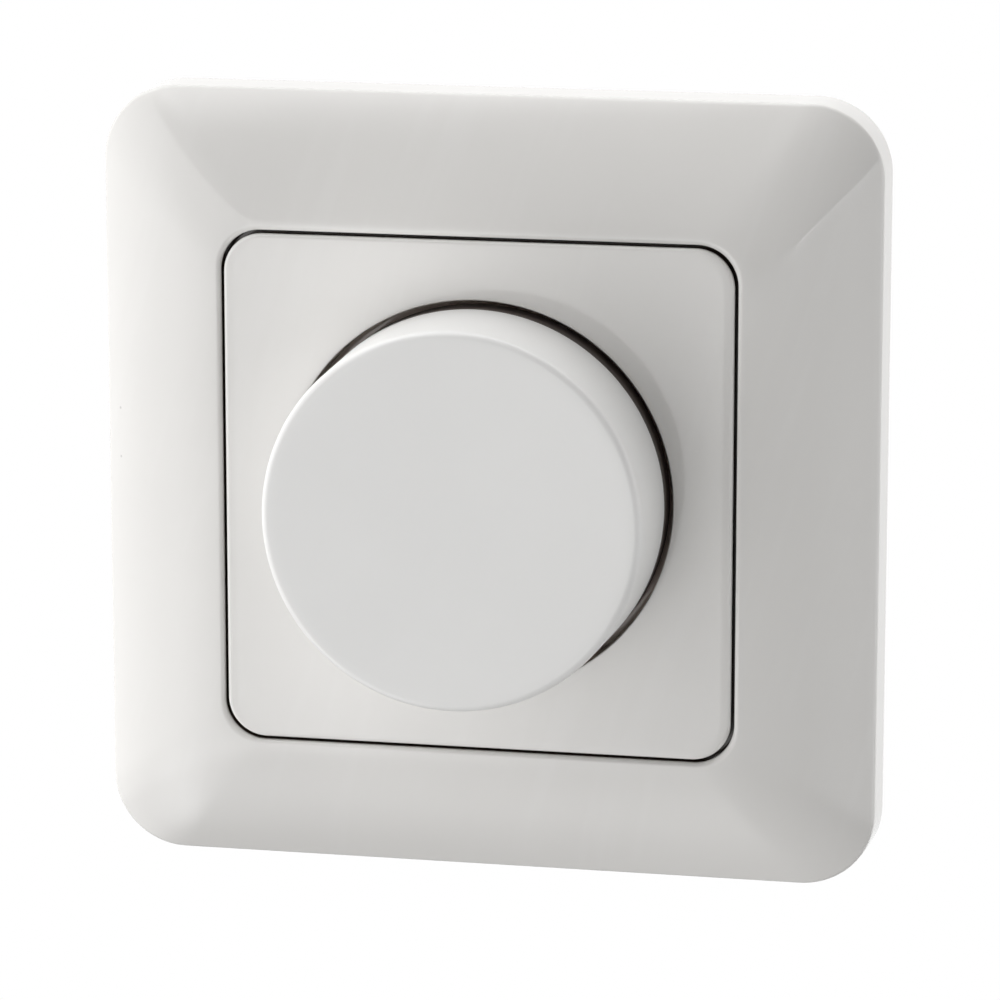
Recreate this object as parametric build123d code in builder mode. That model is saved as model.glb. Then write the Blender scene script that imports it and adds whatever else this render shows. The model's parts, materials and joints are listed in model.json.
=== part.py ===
from build123d import *
import os
from math import asin, cos, degrees, radians, sin

# Rotary dimmer for a flush wall box, in millimetres. X runs to the right, Y into the wall, Z up.
# The origin is the middle of the two box screws, on the wall's face. A height is a distance in
# front of the wall, so it is negative inside the box.

# Cover frame
frame_back = 84.8  # square at the wall
frame_crease = 84.4  # square where the side wall meets the crowned face
crease_corner = 8.0
frame_wall = 2.0
opening_width = 55.7
opening_corner = 4.35
slope_at_crease = 38.0  # the crowned face falls off this steeply at its outer edge, degrees
slope_at_opening = 8.0
ledge_width = 52.0
ledge_thick = 1.5
collar_wall = 2.0
frame_rib_thick = 1.2
frame_rib_spread = 22.0
face_steps = 6
screw_notch_width = 9.0  # room for a box screw's head in the collar's foot
screw_notch_height = 3.4

# Centre plate
plate_face = 11.3
plate_width = 55.0
plate_corner = 4.2
plate_thick = 1.8
plate_skirt = 1.6
plate_edge_radius = 0.45
plate_rim_depth = 3.0
well_radius = 21.2
well_wall = 1.6
well_floor = 6.3
well_edge_radius = 0.3
plate_rib_thick = 1.2
plate_rib_length = 71.0

# Knob
cap_base_radius = 20.45
cap_top_radius = 20.2
cap_top = 24.5
cap_edge_radius = 1.2
cap_wall = 1.8
collar_top = 12.3
collar_bottom = 8.6
collar_inner_radius = 17.2
collar_lip_radius = 18.4
collar_lip_top = 14.8
collar_edge = 0.4
boss_radius = 5.0
boss_bottom = 13.0
boss_rib_thick = 1.4
boss_rib_depth = 3.2
boss_rib_count = 6

# Shaft, its bush and the nut that holds the plate
shaft_radius = 3.0
shaft_top = 21.5
shaft_flat = 1.5  # from the axis
shaft_shoulder = 0.5
shaft_end_radius = 1.9
shaft_end_flat = 1.2
shaft_end = -8.6
shaft_end_flat_top = -1.4
shaft_chamfer = 0.4
clip_thick = 0.4
clip_width = 4.0
clip_foot = 2.6
bush_radius = 5.0
bush_top = 10.5
bush_flange_radius = 8.0
bush_flange_thick = 1.4
bush_chamfer = 0.5
nut_across_flats = 14.0
nut_thick = 2.5
nut_bevel = 30.0
washer_radius = 8.5
washer_thick = 0.5
running_gap = 0.05
clear_gap = 0.2

# Support frame, cut and bent from sheet steel
support_width = 71.0
support_thick = 1.2
support_corner_cut = 10.0
box_screw_spacing = 60.0
box_slot_width = 3.8
box_slot_length = 7.0
side_notch_depth = 7.0
tab_width = 6.0
tab_height = 3.0
tab_spread = 12.0
tab_gap = 0.1

# Insert
insert_width = 44.0
insert_corner_cut = 7.0
insert_wall = 1.5
insert_edge_radius = 1.0
insert_back = -25.0
cover_thick = 1.8
rivet_radius = 1.2
rivet_head_radius = 2.2
rivet_head_thick = 0.7
rivet_head_taper = 20.0
rivet_tail_radius = 1.85
rivet_spread = 15.5
tongue_width = 5.0
tongue_thick = 1.0
tongue_length = 4.7
tongue_nib = 1.1
tongue_nib_height = 1.0
tongue_gap = 0.15
window_height = 1.6
vent_width = 1.4
vent_length = 12.0
vent_pitch = 3.4
vent_count = 6
vent_middle = 6.0
wire_entry_width = 3.6
wire_entry_height = 3.8
screw_access_radius = 1.95

# Potentiometer
pot_width = 17.0
pot_corner = 1.0
pot_wall = 1.2
pot_front_wall = 0.8
pot_depth = 5.0
rotor_radius = 6.8
rotor_thick = 1.4
rotor_hub_radius = 3.4
rotor_stop_width = 1.6
wiper_thick = 0.3
wiper_outer_radius = 5.8
wiper_inner_radius = 3.7
wiper_finger_width = 0.9
track_thick = 1.0
track_bore_radius = 2.6
pin_radius = 0.3
pin_pitch = 5.0
pin_row = 8.0
pin_tail = 0.8  # what a lead stands proud behind the board
lead_hole_radius = 0.45

# Push switch
switch_width = 15.0
switch_wall = 1.2
switch_depth = 8.1
push_travel = 1.6
plunger_radius = 1.9
plunger_plate_width = 8.0
plunger_plate_thick = 1.0
plunger_step = 0.2
plunger_boss_radius = 1.4
plunger_boss_length = 1.6
bridge_length = 10.0
bridge_width = 3.0
bridge_thick = 0.4
contact_offset = 4.2
contact_width = 2.0
contact_thick = 0.4
contact_rest_gap = 0.4
contact_tip_thick = 0.2
spring_radius = 2.2
spring_wire_radius = 0.25
spring_turns = 4
spring_facets = 8

# Circuit board and what it carries
board_thick = 1.6
board_half_width = 20.0
board_top = 20.0
board_bottom = -11.8
board_corner_cut = 7.2
standoff_radius = 1.8
standoff_column = 18.0
standoff_row = -3.0
standoff_top_row = 18.0
choke_middle = (-9.0, 14.2)
choke_outer_radius = 6.2
choke_inner_radius = 2.2
choke_width = 5.0
choke_wire = 0.55
choke_turns = 18
capacitor_size = (12.0, 11.0, 5.0)
capacitor_middle = (10.0, 13.4)
capacitor_edge = 0.6
heat_sink_size = (9.6, 15.4)
heat_sink_middle = (-13.9, 1.8)
transistor_width = 9.6
transistor_body = 9.0
transistor_tab = 6.2
transistor_thick = 4.4
transistor_tab_thick = 1.3
transistor_bottom = -5.9
transistor_lead_pitch = 2.54
transistor_lead_width = 0.6
transistor_lead_reach = 2.0
transistor_lead_depth = 2.6
transistor_screw_radius = 1.5
transistor_screw_head_radius = 2.7
transistor_screw_head_thick = 1.7
transistor_slot_length = 3.6
transistor_slot_width = 0.7
transistor_slot_depth = 0.9
fuse_middle = 14.5
fuse_height = 4.5
fuse_length = 20.0
fuse_radius = 2.4
fuse_bore_radius = 1.8
fuse_cap_radius = 2.6
fuse_cap_length = 5.0
fuse_cap_end = 0.5
fuse_clip_offset = 7.5
fuse_clip_width = 4.0
fuse_clip_thick = 0.4
fuse_clip_stem = 1.2
fuse_clip_mouth = 70.0
resistor_column = -14.0
resistor_rows = (-1.0, 3.0, 7.0)
resistor_radius = 1.2
resistor_length = 6.4
resistor_lead_radius = 0.3
resistor_lead_reach = 1.4

# Terminals
terminal_pitch = 8.0
terminal_width = 6.4
terminal_bottom = -19.6
terminal_top = -12.6
terminal_depth = 8.2
wire_bore_radius = 1.6
wire_row = -15.2
wire_bore_depth = 7.0
terminal_screw_radius = 1.25
terminal_screw_length = 2.6
terminal_head_radius = 1.75
terminal_head_thick = 1.7
terminal_slot_width = 0.5
terminal_slot_depth = 0.7
terminal_tab_width = 2.4
terminal_tab_thick = 0.8
terminal_tab_reach = 3.1
terminal_screw_row = -19.4
divider_thick = 1.0

# Heights and places that follow from the dimensions above
crease_half = frame_crease / 2
opening_half = opening_width / 2
face_radius = (crease_half - opening_half) / (
    sin(radians(slope_at_crease)) - sin(radians(slope_at_opening))
)
face_centre_half = opening_half - face_radius * sin(radians(slope_at_opening))
face_centre_height = plate_face - face_radius * cos(radians(slope_at_opening))
ledge_top = plate_face - plate_rim_depth
collar_half = opening_half + collar_wall
cap_inner_top = cap_top - cap_wall
washer_top = well_floor + washer_thick
insert_half = insert_width / 2
insert_inner_half = insert_half - insert_wall
cover_back = -cover_thick
bush_back = cover_back - bush_flange_thick
pot_back = bush_back - pot_depth
track_back = pot_back - track_thick
switch_back = track_back - switch_depth
board_back = switch_back - board_thick
floor_front = insert_back + insert_wall
plunger_plate_front = track_back - switch_wall - plunger_step
bridge_front = plunger_plate_front - plunger_plate_thick
bridge_back = bridge_front - bridge_thick
sides = [0, 90, 180, 270]
terminal_columns = [-terminal_pitch, 0.0, terminal_pitch]
pin_columns = [-pin_pitch, 0.0, pin_pitch]
standoff_places = [
    (-standoff_column, standoff_row),
    (standoff_column, standoff_row),
    (0.0, standoff_top_row),
]
rivet_places = [(x * rivet_spread, z * rivet_spread) for x in (-1, 1) for z in (-1, 1)]
screw_place = (heat_sink_middle[0], transistor_bottom + transistor_body + transistor_tab / 2)
lead_columns = [heat_sink_middle[0] + i * transistor_lead_pitch for i in (-1, 0, 1)]
lead_row = transistor_bottom - transistor_lead_reach
resistor_lead_offset = resistor_length / 2 + resistor_lead_reach


def at_height(height):
    """The plane parallel to the wall at this height, facing the front."""
    return Plane.XZ.offset(height)


def side_plane(angle, along=0.0):
    """A plane square to the wall whose x runs outwards at this angle and whose y is the height."""
    outwards = Vector(cos(radians(angle)), 0, sin(radians(angle)))
    across = Vector(-sin(radians(angle)), 0, cos(radians(angle)))
    return Plane(origin=across * along, x_dir=outwards, z_dir=outwards.cross(Vector(0, -1, 0)))


def cross_plane(row):
    """The horizontal plane through this row: x runs to the right and y is the height."""
    return Plane(origin=(0, 0, row), x_dir=(1, 0, 0), z_dir=(0, 0, -1))


def face_section(slope, depth):
    """Half width, height and corner radius of the crowned face, this deep under its skin."""
    half = face_centre_half + (face_radius - depth) * sin(radians(slope))
    height = face_centre_height + (face_radius - depth) * cos(radians(slope))
    share = (half - opening_half) / (crease_half - opening_half)
    return half, height, opening_corner + (crease_corner - opening_corner) * share


def slope_at(half, depth):
    """Slope in degrees where the surface this deep under the crowned face has this half width."""
    return degrees(asin((half - face_centre_half) / (face_radius - depth)))


def slope_range(first, last):
    """Evenly spaced slopes from one angle to another."""
    return [first + (last - first) * i / (face_steps - 1) for i in range(face_steps)]


os.makedirs("parts", exist_ok=True)

# Cover frame: a low side wall, a face crowned to one arc whose corners tighten towards the
# opening, and a collar whose ledge carries the centre plate
with BuildPart() as cover_frame:
    crease_height = face_section(slope_at_crease, 0)[1]
    with BuildSketch(at_height(0)):
        RectangleRounded(frame_back, frame_back, crease_corner)
    with BuildSketch(at_height(crease_height)):
        RectangleRounded(frame_crease, frame_crease, crease_corner)
    loft()
    for slope in slope_range(slope_at_crease, slope_at_opening):
        half, height, corner = face_section(slope, 0)
        with BuildSketch(at_height(height)):
            RectangleRounded(2 * half, 2 * half, corner)
    loft()
    inner_slope = slope_at(crease_half - frame_wall, frame_wall)
    half, height, corner = face_section(inner_slope, frame_wall)
    with BuildSketch(at_height(0)):
        RectangleRounded(2 * half, 2 * half, corner)
    extrude(amount=height, mode=Mode.SUBTRACT)
    for slope in slope_range(inner_slope, slope_at(collar_half, frame_wall)):
        half, height, corner = face_section(slope, frame_wall)
        with BuildSketch(at_height(height)):
            RectangleRounded(2 * half, 2 * half, corner)
    loft(mode=Mode.SUBTRACT)
    with BuildSketch(at_height(support_thick)):
        RectangleRounded(2 * collar_half, 2 * collar_half, opening_corner + collar_wall)
    extrude(amount=plate_face - frame_wall / 2 - support_thick)
    for angle in sides:
        for along in (-frame_rib_spread, frame_rib_spread):
            with BuildSketch(side_plane(angle, along)):
                with BuildLine():
                    skin = [
                        face_section(slope, frame_wall / 2)[:2]
                        for slope in slope_range(slope_at(collar_half, frame_wall), inner_slope)
                    ]
                    foot_in = (skin[0][0], support_thick + clear_gap)
                    foot_out = (skin[-1][0], support_thick + clear_gap)
                    Polyline(foot_in, *skin, foot_out, close=True)
                make_face()
            extrude(amount=frame_rib_thick / 2, both=True)
    with BuildSketch(at_height(ledge_top)):
        RectangleRounded(opening_width, opening_width, opening_corner)
    extrude(amount=plate_face, mode=Mode.SUBTRACT)
    with BuildSketch(at_height(0)):
        RectangleRounded(ledge_width, ledge_width, opening_corner - collar_wall)
    extrude(amount=plate_face, mode=Mode.SUBTRACT)
    # Below the ledge the collar opens out again, with room for the screw heads on each side
    with BuildSketch(at_height(0)):
        RectangleRounded(opening_width, opening_width, opening_corner)
    extrude(amount=ledge_top - ledge_thick, mode=Mode.SUBTRACT)
    with BuildSketch(at_height(0)):
        Rectangle(2 * collar_half, screw_notch_width)
        Rectangle(screw_notch_width, 2 * collar_half)
    extrude(amount=support_thick + screw_notch_height, mode=Mode.SUBTRACT)
cover_frame.part.label = "cover_frame"
export_step(cover_frame.part, "parts/cover_frame.step")

# Centre plate: a shallow lid with a round well for the knob, stiffened by ribs behind
with BuildPart() as centre_plate:
    with BuildSketch(at_height(ledge_top)):
        RectangleRounded(plate_width, plate_width, plate_corner)
    extrude(amount=plate_face - ledge_top)
    fillet(centre_plate.faces().sort_by(Axis.Y)[0].edges(), plate_edge_radius)
    with BuildSketch(at_height(ledge_top)):
        inner_width = plate_width - 2 * plate_skirt
        RectangleRounded(inner_width, inner_width, plate_corner - plate_skirt)
    extrude(amount=plate_face - plate_thick - ledge_top, mode=Mode.SUBTRACT)
    with BuildSketch(at_height(well_floor - well_wall)):
        Circle(well_radius + well_wall)
    extrude(amount=plate_face - plate_thick / 2 - well_floor + well_wall)
    with BuildSketch(at_height(ledge_top)):
        for turn in (45, -45):
            Rectangle(plate_rib_length, plate_rib_thick, rotation=turn)
    extrude(amount=plate_face - plate_thick / 2 - ledge_top)
    with BuildSketch(at_height(well_floor)):
        Circle(well_radius)
    extrude(amount=plate_face, mode=Mode.SUBTRACT)
    with BuildSketch(at_height(0)):
        Circle(bush_radius + clear_gap)
    extrude(amount=plate_face, mode=Mode.SUBTRACT)
    mouth = centre_plate.faces().sort_by(Axis.Y)[0].edges().filter_by(GeomType.CIRCLE)
    fillet(mouth.sort_by(SortBy.RADIUS)[-1], well_edge_radius)
centre_plate.part.label = "centre_plate"
export_step(centre_plate.part, "parts/centre_plate.step")

# Knob cap: a drawn cup with a little draft, a boss with a D-shaped bore and ribs under its top
with BuildPart() as knob_cap:
    with BuildSketch(side_plane(0)):
        with BuildLine():
            Polyline(
                (0, collar_top),
                (cap_base_radius, collar_top),
                (cap_top_radius, cap_top),
                (0, cap_top),
                close=True,
            )
        make_face()
    revolve(axis=Axis.Y)
    fillet(knob_cap.faces().sort_by(Axis.Y)[0].edges(), cap_edge_radius)
    with BuildSketch(side_plane(0)):
        with BuildLine():
            Polyline(
                (0, collar_top),
                (cap_base_radius - cap_wall, collar_top),
                (cap_top_radius - cap_wall, cap_inner_top),
                (0, cap_inner_top),
                close=True,
            )
        make_face()
    revolve(axis=Axis.Y, mode=Mode.SUBTRACT)
    with BuildSketch(at_height(cap_inner_top - boss_rib_depth)):
        with PolarLocations(boss_radius, boss_rib_count, start_angle=180 / boss_rib_count):
            rib_reach = cap_top_radius - cap_wall / 2 - boss_radius
            Rectangle(rib_reach, boss_rib_thick, align=(Align.MIN, Align.CENTER))
    extrude(amount=boss_rib_depth + cap_wall / 2)
    with BuildSketch(at_height(boss_bottom)):
        Circle(boss_radius)
    extrude(amount=cap_inner_top + cap_wall / 2 - boss_bottom)
    with BuildSketch(at_height(boss_bottom)) as bore_outline:
        Circle(shaft_radius + running_gap)
        with Locations((shaft_flat + clip_thick + running_gap, 0)):
            Rectangle(
                boss_radius, 2 * boss_radius, align=(Align.MIN, Align.CENTER), mode=Mode.SUBTRACT
            )
    extrude(amount=shaft_top + running_gap - boss_bottom, mode=Mode.SUBTRACT)
knob_cap.part.label = "knob_cap"
export_step(knob_cap.part, "parts/knob_cap.step")

# Knob collar: the dark ring under the cap, with a lip that plugs into it
with BuildPart() as knob_collar:
    with BuildSketch(side_plane(0)):
        with BuildLine():
            Polyline(
                (collar_inner_radius, collar_bottom),
                (cap_base_radius - collar_edge, collar_bottom),
                (cap_base_radius, collar_bottom + collar_edge),
                (cap_base_radius, collar_top),
                (collar_lip_radius, collar_top),
                (collar_lip_radius, collar_lip_top),
                (collar_inner_radius, collar_lip_top),
                close=True,
            )
        make_face()
    revolve(axis=Axis.Y)
knob_collar.part.label = "knob_collar"
export_step(knob_collar.part, "parts/knob_collar.step")

# Shaft clip: a spring leaf on the shaft's flat, bent under the boss
with BuildPart() as shaft_clip:
    with BuildSketch(side_plane(0)):
        with BuildLine():
            Polyline(
                (shaft_flat, shaft_top - clip_thick),
                (shaft_flat, boss_bottom - clip_thick),
                (shaft_flat + clip_foot, boss_bottom - clip_thick),
                (shaft_flat + clip_foot, boss_bottom),
                (shaft_flat + clip_thick, boss_bottom),
                (shaft_flat + clip_thick, shaft_top - clip_thick),
                close=True,
            )
        make_face()
    extrude(amount=clip_width / 2, both=True)
shaft_clip.part.label = "shaft_clip"
export_step(shaft_clip.part, "parts/shaft_clip.step")

# Control shaft: stepped, with a flat for the knob and one for the potentiometer
with BuildPart() as control_shaft:
    with BuildSketch(at_height(shaft_shoulder)):
        Circle(shaft_radius)
    extrude(amount=shaft_top - shaft_shoulder)
    chamfer(control_shaft.faces().sort_by(Axis.Y)[0].edges(), shaft_chamfer)
    with BuildSketch(at_height(shaft_end)):
        Circle(shaft_end_radius)
    extrude(amount=shaft_shoulder - shaft_end)
    for bottom, top, flat in (
        (boss_bottom - clip_thick - clear_gap, shaft_top, shaft_flat),
        (shaft_end, shaft_end_flat_top, shaft_end_flat),
    ):
        with BuildSketch(at_height(bottom)):
            with Locations((flat, 0)):
                Rectangle(shaft_radius, 2 * shaft_radius, align=(Align.MIN, Align.CENTER))
        extrude(amount=top - bottom, mode=Mode.SUBTRACT)
control_shaft.part.label = "control_shaft"
export_step(control_shaft.part, "parts/control_shaft.step")

# Threaded bush: guides the shaft and takes the nut
with BuildPart() as threaded_bush:
    with BuildSketch(at_height(bush_back)):
        Circle(bush_flange_radius)
    extrude(amount=bush_flange_thick)
    with BuildSketch(at_height(cover_back)):
        Circle(bush_radius)
    extrude(amount=bush_top - cover_back)
    chamfer(threaded_bush.faces().sort_by(Axis.Y)[0].edges(), bush_chamfer)
    with BuildSketch(at_height(bush_back)):
        Circle(shaft_radius + running_gap)
    extrude(amount=bush_top - bush_back, mode=Mode.SUBTRACT)
threaded_bush.part.label = "threaded_bush"
export_step(threaded_bush.part, "parts/threaded_bush.step")

# Washer and hex nut that hold the centre plate down
with BuildPart() as plate_washer:
    with BuildSketch(at_height(well_floor)):
        Circle(washer_radius)
        Circle(bush_radius + clear_gap, mode=Mode.SUBTRACT)
    extrude(amount=washer_thick)
plate_washer.part.label = "plate_washer"
export_step(plate_washer.part, "parts/plate_washer.step")

with BuildPart() as plate_nut:
    nut_corner_radius = nut_across_flats / 2 / cos(radians(30))
    with BuildSketch(at_height(washer_top)):
        RegularPolygon(nut_corner_radius, 6)
    extrude(amount=nut_thick)
    # The cone that breaks the nut's front corners
    with BuildSketch(at_height(washer_top)):
        Circle(nut_corner_radius)
    extrude(amount=2 * nut_thick, taper=nut_bevel, mode=Mode.INTERSECT)
    with BuildSketch(at_height(washer_top)):
        Circle(bush_radius + running_gap)
    extrude(amount=nut_thick, mode=Mode.SUBTRACT)
plate_nut.part.label = "plate_nut"
export_step(plate_nut.part, "parts/plate_nut.step")

# Support frame: a square of sheet with cut corners, slots for the box screws, side notches
# and bent tabs that centre the cover frame
with BuildPart() as support_frame:
    with BuildSketch(at_height(0)) as support_outline:
        Rectangle(support_width, support_width)
        chamfer(support_outline.vertices(), support_corner_cut)
        Circle(bush_radius + running_gap, mode=Mode.SUBTRACT)
        with Locations((0, box_screw_spacing / 2), (0, -box_screw_spacing / 2)):
            SlotOverall(box_slot_length, box_slot_width, rotation=90, mode=Mode.SUBTRACT)
        notch_middle = support_width / 2 - side_notch_depth / 2 + box_slot_width / 2
        with Locations((notch_middle, 0), (-notch_middle, 0)):
            SlotOverall(side_notch_depth + box_slot_width, box_slot_width, mode=Mode.SUBTRACT)
        with Locations(*rivet_places):
            Circle(rivet_radius, mode=Mode.SUBTRACT)
        with Locations(screw_place):
            Circle(transistor_screw_radius + running_gap, mode=Mode.SUBTRACT)
    extrude(amount=support_thick)
    for angle in sides:
        for along in (-tab_spread, tab_spread):
            with BuildSketch(side_plane(angle, along)):
                with Locations((collar_half + tab_gap, support_thick)):
                    Rectangle(support_thick, tab_height, align=(Align.MIN, Align.MIN))
            extrude(amount=tab_width / 2, both=True)
support_frame.part.label = "support_frame"
export_step(support_frame.part, "parts/support_frame.step")

# Insert cover: closes the insert behind the support frame and clips it on with four tongues
with BuildPart() as insert_cover:
    with BuildSketch(at_height(cover_back)) as cover_outline:
        Rectangle(insert_width, insert_width)
        chamfer(cover_outline.vertices(), insert_corner_cut)
        Circle(bush_radius + running_gap, mode=Mode.SUBTRACT)
        with Locations(*rivet_places):
            Circle(rivet_radius, mode=Mode.SUBTRACT)
        with Locations(heat_sink_middle):
            window = (heat_sink_size[0] + clear_gap, heat_sink_size[1] + clear_gap)
            Rectangle(*window, mode=Mode.SUBTRACT)
    extrude(amount=cover_thick)
    tongue_face = insert_inner_half - tongue_gap
    tongue_end = cover_back - tongue_length
    for angle in sides:
        with BuildSketch(side_plane(angle)):
            with BuildLine():
                Polyline(
                    (tongue_face - tongue_thick, cover_back),
                    (tongue_face - tongue_thick, tongue_end),
                    (tongue_face, tongue_end),
                    (tongue_face + tongue_nib, tongue_end + tongue_nib_height),
                    (tongue_face, tongue_end + tongue_nib_height),
                    (tongue_face, cover_back),
                    close=True,
                )
            make_face()
        extrude(amount=tongue_width / 2, both=True)
insert_cover.part.label = "insert_cover"
export_step(insert_cover.part, "parts/insert_cover.step")

# Insert body: a cup with cut corners, standoffs for the board, dividers between the terminals,
# wire entries, screw access holes, vents and windows for the cover's tongues
with BuildPart() as insert_body:
    with BuildSketch(at_height(insert_back)) as body_outline:
        Rectangle(insert_width, insert_width)
        chamfer(body_outline.vertices(), insert_corner_cut)
    extrude(amount=cover_back - insert_back)
    fillet(insert_body.faces().sort_by(Axis.Y)[-1].edges(), insert_edge_radius)
    with BuildSketch(at_height(floor_front)) as body_hollow:
        Rectangle(2 * insert_inner_half, 2 * insert_inner_half)
        chamfer(body_hollow.vertices(), insert_corner_cut - insert_wall / 2)
    extrude(amount=cover_back - floor_front, mode=Mode.SUBTRACT)
    with BuildSketch(at_height(floor_front - insert_wall / 2)):
        with Locations(*standoff_places):
            Circle(standoff_radius)
    extrude(amount=board_back - floor_front + insert_wall / 2)
    with BuildSketch(at_height(floor_front - insert_wall / 2)):
        for column in (-terminal_pitch / 2, terminal_pitch / 2):
            with Locations((column, -insert_inner_half - insert_wall / 2)):
                divider_length = terminal_top + insert_inner_half + insert_wall / 2
                Rectangle(divider_thick, divider_length, align=(Align.CENTER, Align.MIN))
    extrude(amount=terminal_depth + insert_wall / 2)
    with BuildSketch(at_height(insert_back)):
        with Locations(*[(column, wire_row) for column in terminal_columns]):
            Rectangle(wire_entry_width, wire_entry_height)
        with Locations((0, vent_middle)):
            with GridLocations(vent_pitch, 1, vent_count, 1):
                SlotOverall(vent_length, vent_width, rotation=90)
    extrude(amount=insert_wall, mode=Mode.SUBTRACT)
    with BuildSketch(cross_plane(-insert_half)):
        with Locations(*[(column, terminal_screw_row) for column in terminal_columns]):
            Circle(screw_access_radius)
    extrude(amount=-insert_wall, mode=Mode.SUBTRACT)
    window_bottom = tongue_end - clear_gap
    for angle in sides:
        with BuildSketch(side_plane(angle)):
            with Locations((insert_inner_half, window_bottom)):
                Rectangle(2 * insert_wall, window_height, align=(Align.MIN, Align.MIN))
        extrude(amount=tongue_width / 2 + clear_gap, both=True, mode=Mode.SUBTRACT)
insert_body.part.label = "insert_body"
export_step(insert_body.part, "parts/insert_body.step")

# Rivets that hold the insert cover to the support frame
with BuildPart() as cover_rivets:
    with BuildSketch(at_height(support_thick)):
        with Locations(*rivet_places):
            Circle(rivet_head_radius)
    extrude(amount=rivet_head_thick, taper=rivet_head_taper)
    with BuildSketch(at_height(cover_back - rivet_head_thick)):
        with Locations(*rivet_places):
            Circle(rivet_tail_radius)
    extrude(amount=rivet_head_thick)
    with BuildSketch(at_height(cover_back)):
        with Locations(*rivet_places):
            Circle(rivet_radius)
    extrude(amount=support_thick - cover_back)
cover_rivets.part.label = "cover_rivets"
export_step(cover_rivets.part, "parts/cover_rivets.step")

# Potentiometer housing: a square cup, open to the back
with BuildPart() as pot_housing:
    with BuildSketch(at_height(pot_back)):
        RectangleRounded(pot_width, pot_width, pot_corner)
    extrude(amount=pot_depth)
    with BuildSketch(at_height(pot_back)):
        Circle(pot_width / 2 - pot_wall)
    extrude(amount=pot_depth - pot_front_wall, mode=Mode.SUBTRACT)
    with BuildSketch(at_height(pot_back)):
        Circle(shaft_radius + clear_gap)
    extrude(amount=pot_depth, mode=Mode.SUBTRACT)
pot_housing.part.label = "pot_housing"
export_step(pot_housing.part, "parts/pot_housing.step")

# Potentiometer rotor: a disc on a hub, driven by the shaft's lower flat, with a stop lug
with BuildPart() as pot_rotor:
    rotor_front = bush_back - pot_front_wall - running_gap
    rotor_back = pot_back + running_gap
    with BuildSketch(at_height(rotor_front - rotor_thick)):
        Circle(rotor_radius - rotor_stop_width / 2)
        with Locations((0, -rotor_radius + rotor_stop_width)):
            Rectangle(rotor_stop_width, rotor_stop_width, align=(Align.CENTER, Align.MAX))
    extrude(amount=rotor_thick)
    with BuildSketch(at_height(rotor_back)):
        Circle(rotor_hub_radius)
    extrude(amount=rotor_front - rotor_back)
    with BuildSketch(at_height(rotor_back)):
        Circle(shaft_end_radius + running_gap)
        with Locations((shaft_end_flat + running_gap, 0)):
            Rectangle(
                rotor_radius, 2 * rotor_radius, align=(Align.MIN, Align.CENTER), mode=Mode.SUBTRACT
            )
    extrude(amount=rotor_front - rotor_back, mode=Mode.SUBTRACT)
pot_rotor.part.label = "pot_rotor"
export_step(pot_rotor.part, "parts/pot_rotor.step")

# Wiper: a spring ring under the rotor with two fingers that reach to the track
with BuildPart() as pot_wiper:
    wiper_back = rotor_front - rotor_thick - wiper_thick
    with BuildSketch(at_height(wiper_back)):
        Circle(wiper_outer_radius)
        Circle(wiper_inner_radius, mode=Mode.SUBTRACT)
    extrude(amount=wiper_thick)
    finger_middle = (wiper_outer_radius + wiper_inner_radius) / 2
    with BuildSketch(at_height(rotor_back)):
        with Locations((finger_middle, 0), (-finger_middle, 0)):
            Rectangle(wiper_finger_width, wiper_finger_width)
    extrude(amount=wiper_back - rotor_back)
pot_wiper.part.label = "pot_wiper"
export_step(pot_wiper.part, "parts/pot_wiper.step")

# Track wafer: closes the potentiometer from behind
with BuildPart() as pot_track:
    with BuildSketch(at_height(track_back)):
        RectangleRounded(pot_width, pot_width, pot_corner)
        Circle(track_bore_radius, mode=Mode.SUBTRACT)
        with Locations(*[(column, pin_row) for column in pin_columns]):
            Circle(pin_radius, mode=Mode.SUBTRACT)
    extrude(amount=track_thick)
pot_track.part.label = "pot_track"
export_step(pot_track.part, "parts/pot_track.step")

# Pins from the wafer through the board
with BuildPart() as pot_pins:
    with BuildSketch(at_height(board_back - pin_tail)):
        with Locations(*[(column, pin_row) for column in pin_columns]):
            Circle(pin_radius)
    extrude(amount=pot_back - board_back + pin_tail)
pot_pins.part.label = "pot_pins"
export_step(pot_pins.part, "parts/pot_pins.step")

# Switch housing: a square cup that stands on the board and carries the potentiometer
with BuildPart() as switch_housing:
    with BuildSketch(at_height(switch_back)):
        RectangleRounded(switch_width, switch_width, pot_corner)
    extrude(amount=switch_depth)
    with BuildSketch(at_height(switch_back)):
        inner_switch = switch_width - 2 * switch_wall
        Rectangle(inner_switch, inner_switch)
    extrude(amount=switch_depth - switch_wall, mode=Mode.SUBTRACT)
    with BuildSketch(at_height(switch_back)):
        Circle(plunger_radius + clear_gap)
    extrude(amount=switch_depth, mode=Mode.SUBTRACT)
switch_housing.part.label = "switch_housing"
export_step(switch_housing.part, "parts/switch_housing.step")

# Switch plunger: a rod against the shaft's end, a square plate and a boss for the spring
with BuildPart() as switch_plunger:
    with BuildSketch(at_height(plunger_plate_front)):
        Circle(plunger_radius)
    extrude(amount=shaft_end - plunger_plate_front)
    with BuildSketch(at_height(bridge_front)):
        RectangleRounded(plunger_plate_width, plunger_plate_width, pot_corner)
    extrude(amount=plunger_plate_thick)
    with BuildSketch(at_height(bridge_front - plunger_boss_length)):
        Circle(plunger_boss_radius)
    extrude(amount=plunger_boss_length)
switch_plunger.part.label = "switch_plunger"
export_step(switch_plunger.part, "parts/switch_plunger.step")

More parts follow.
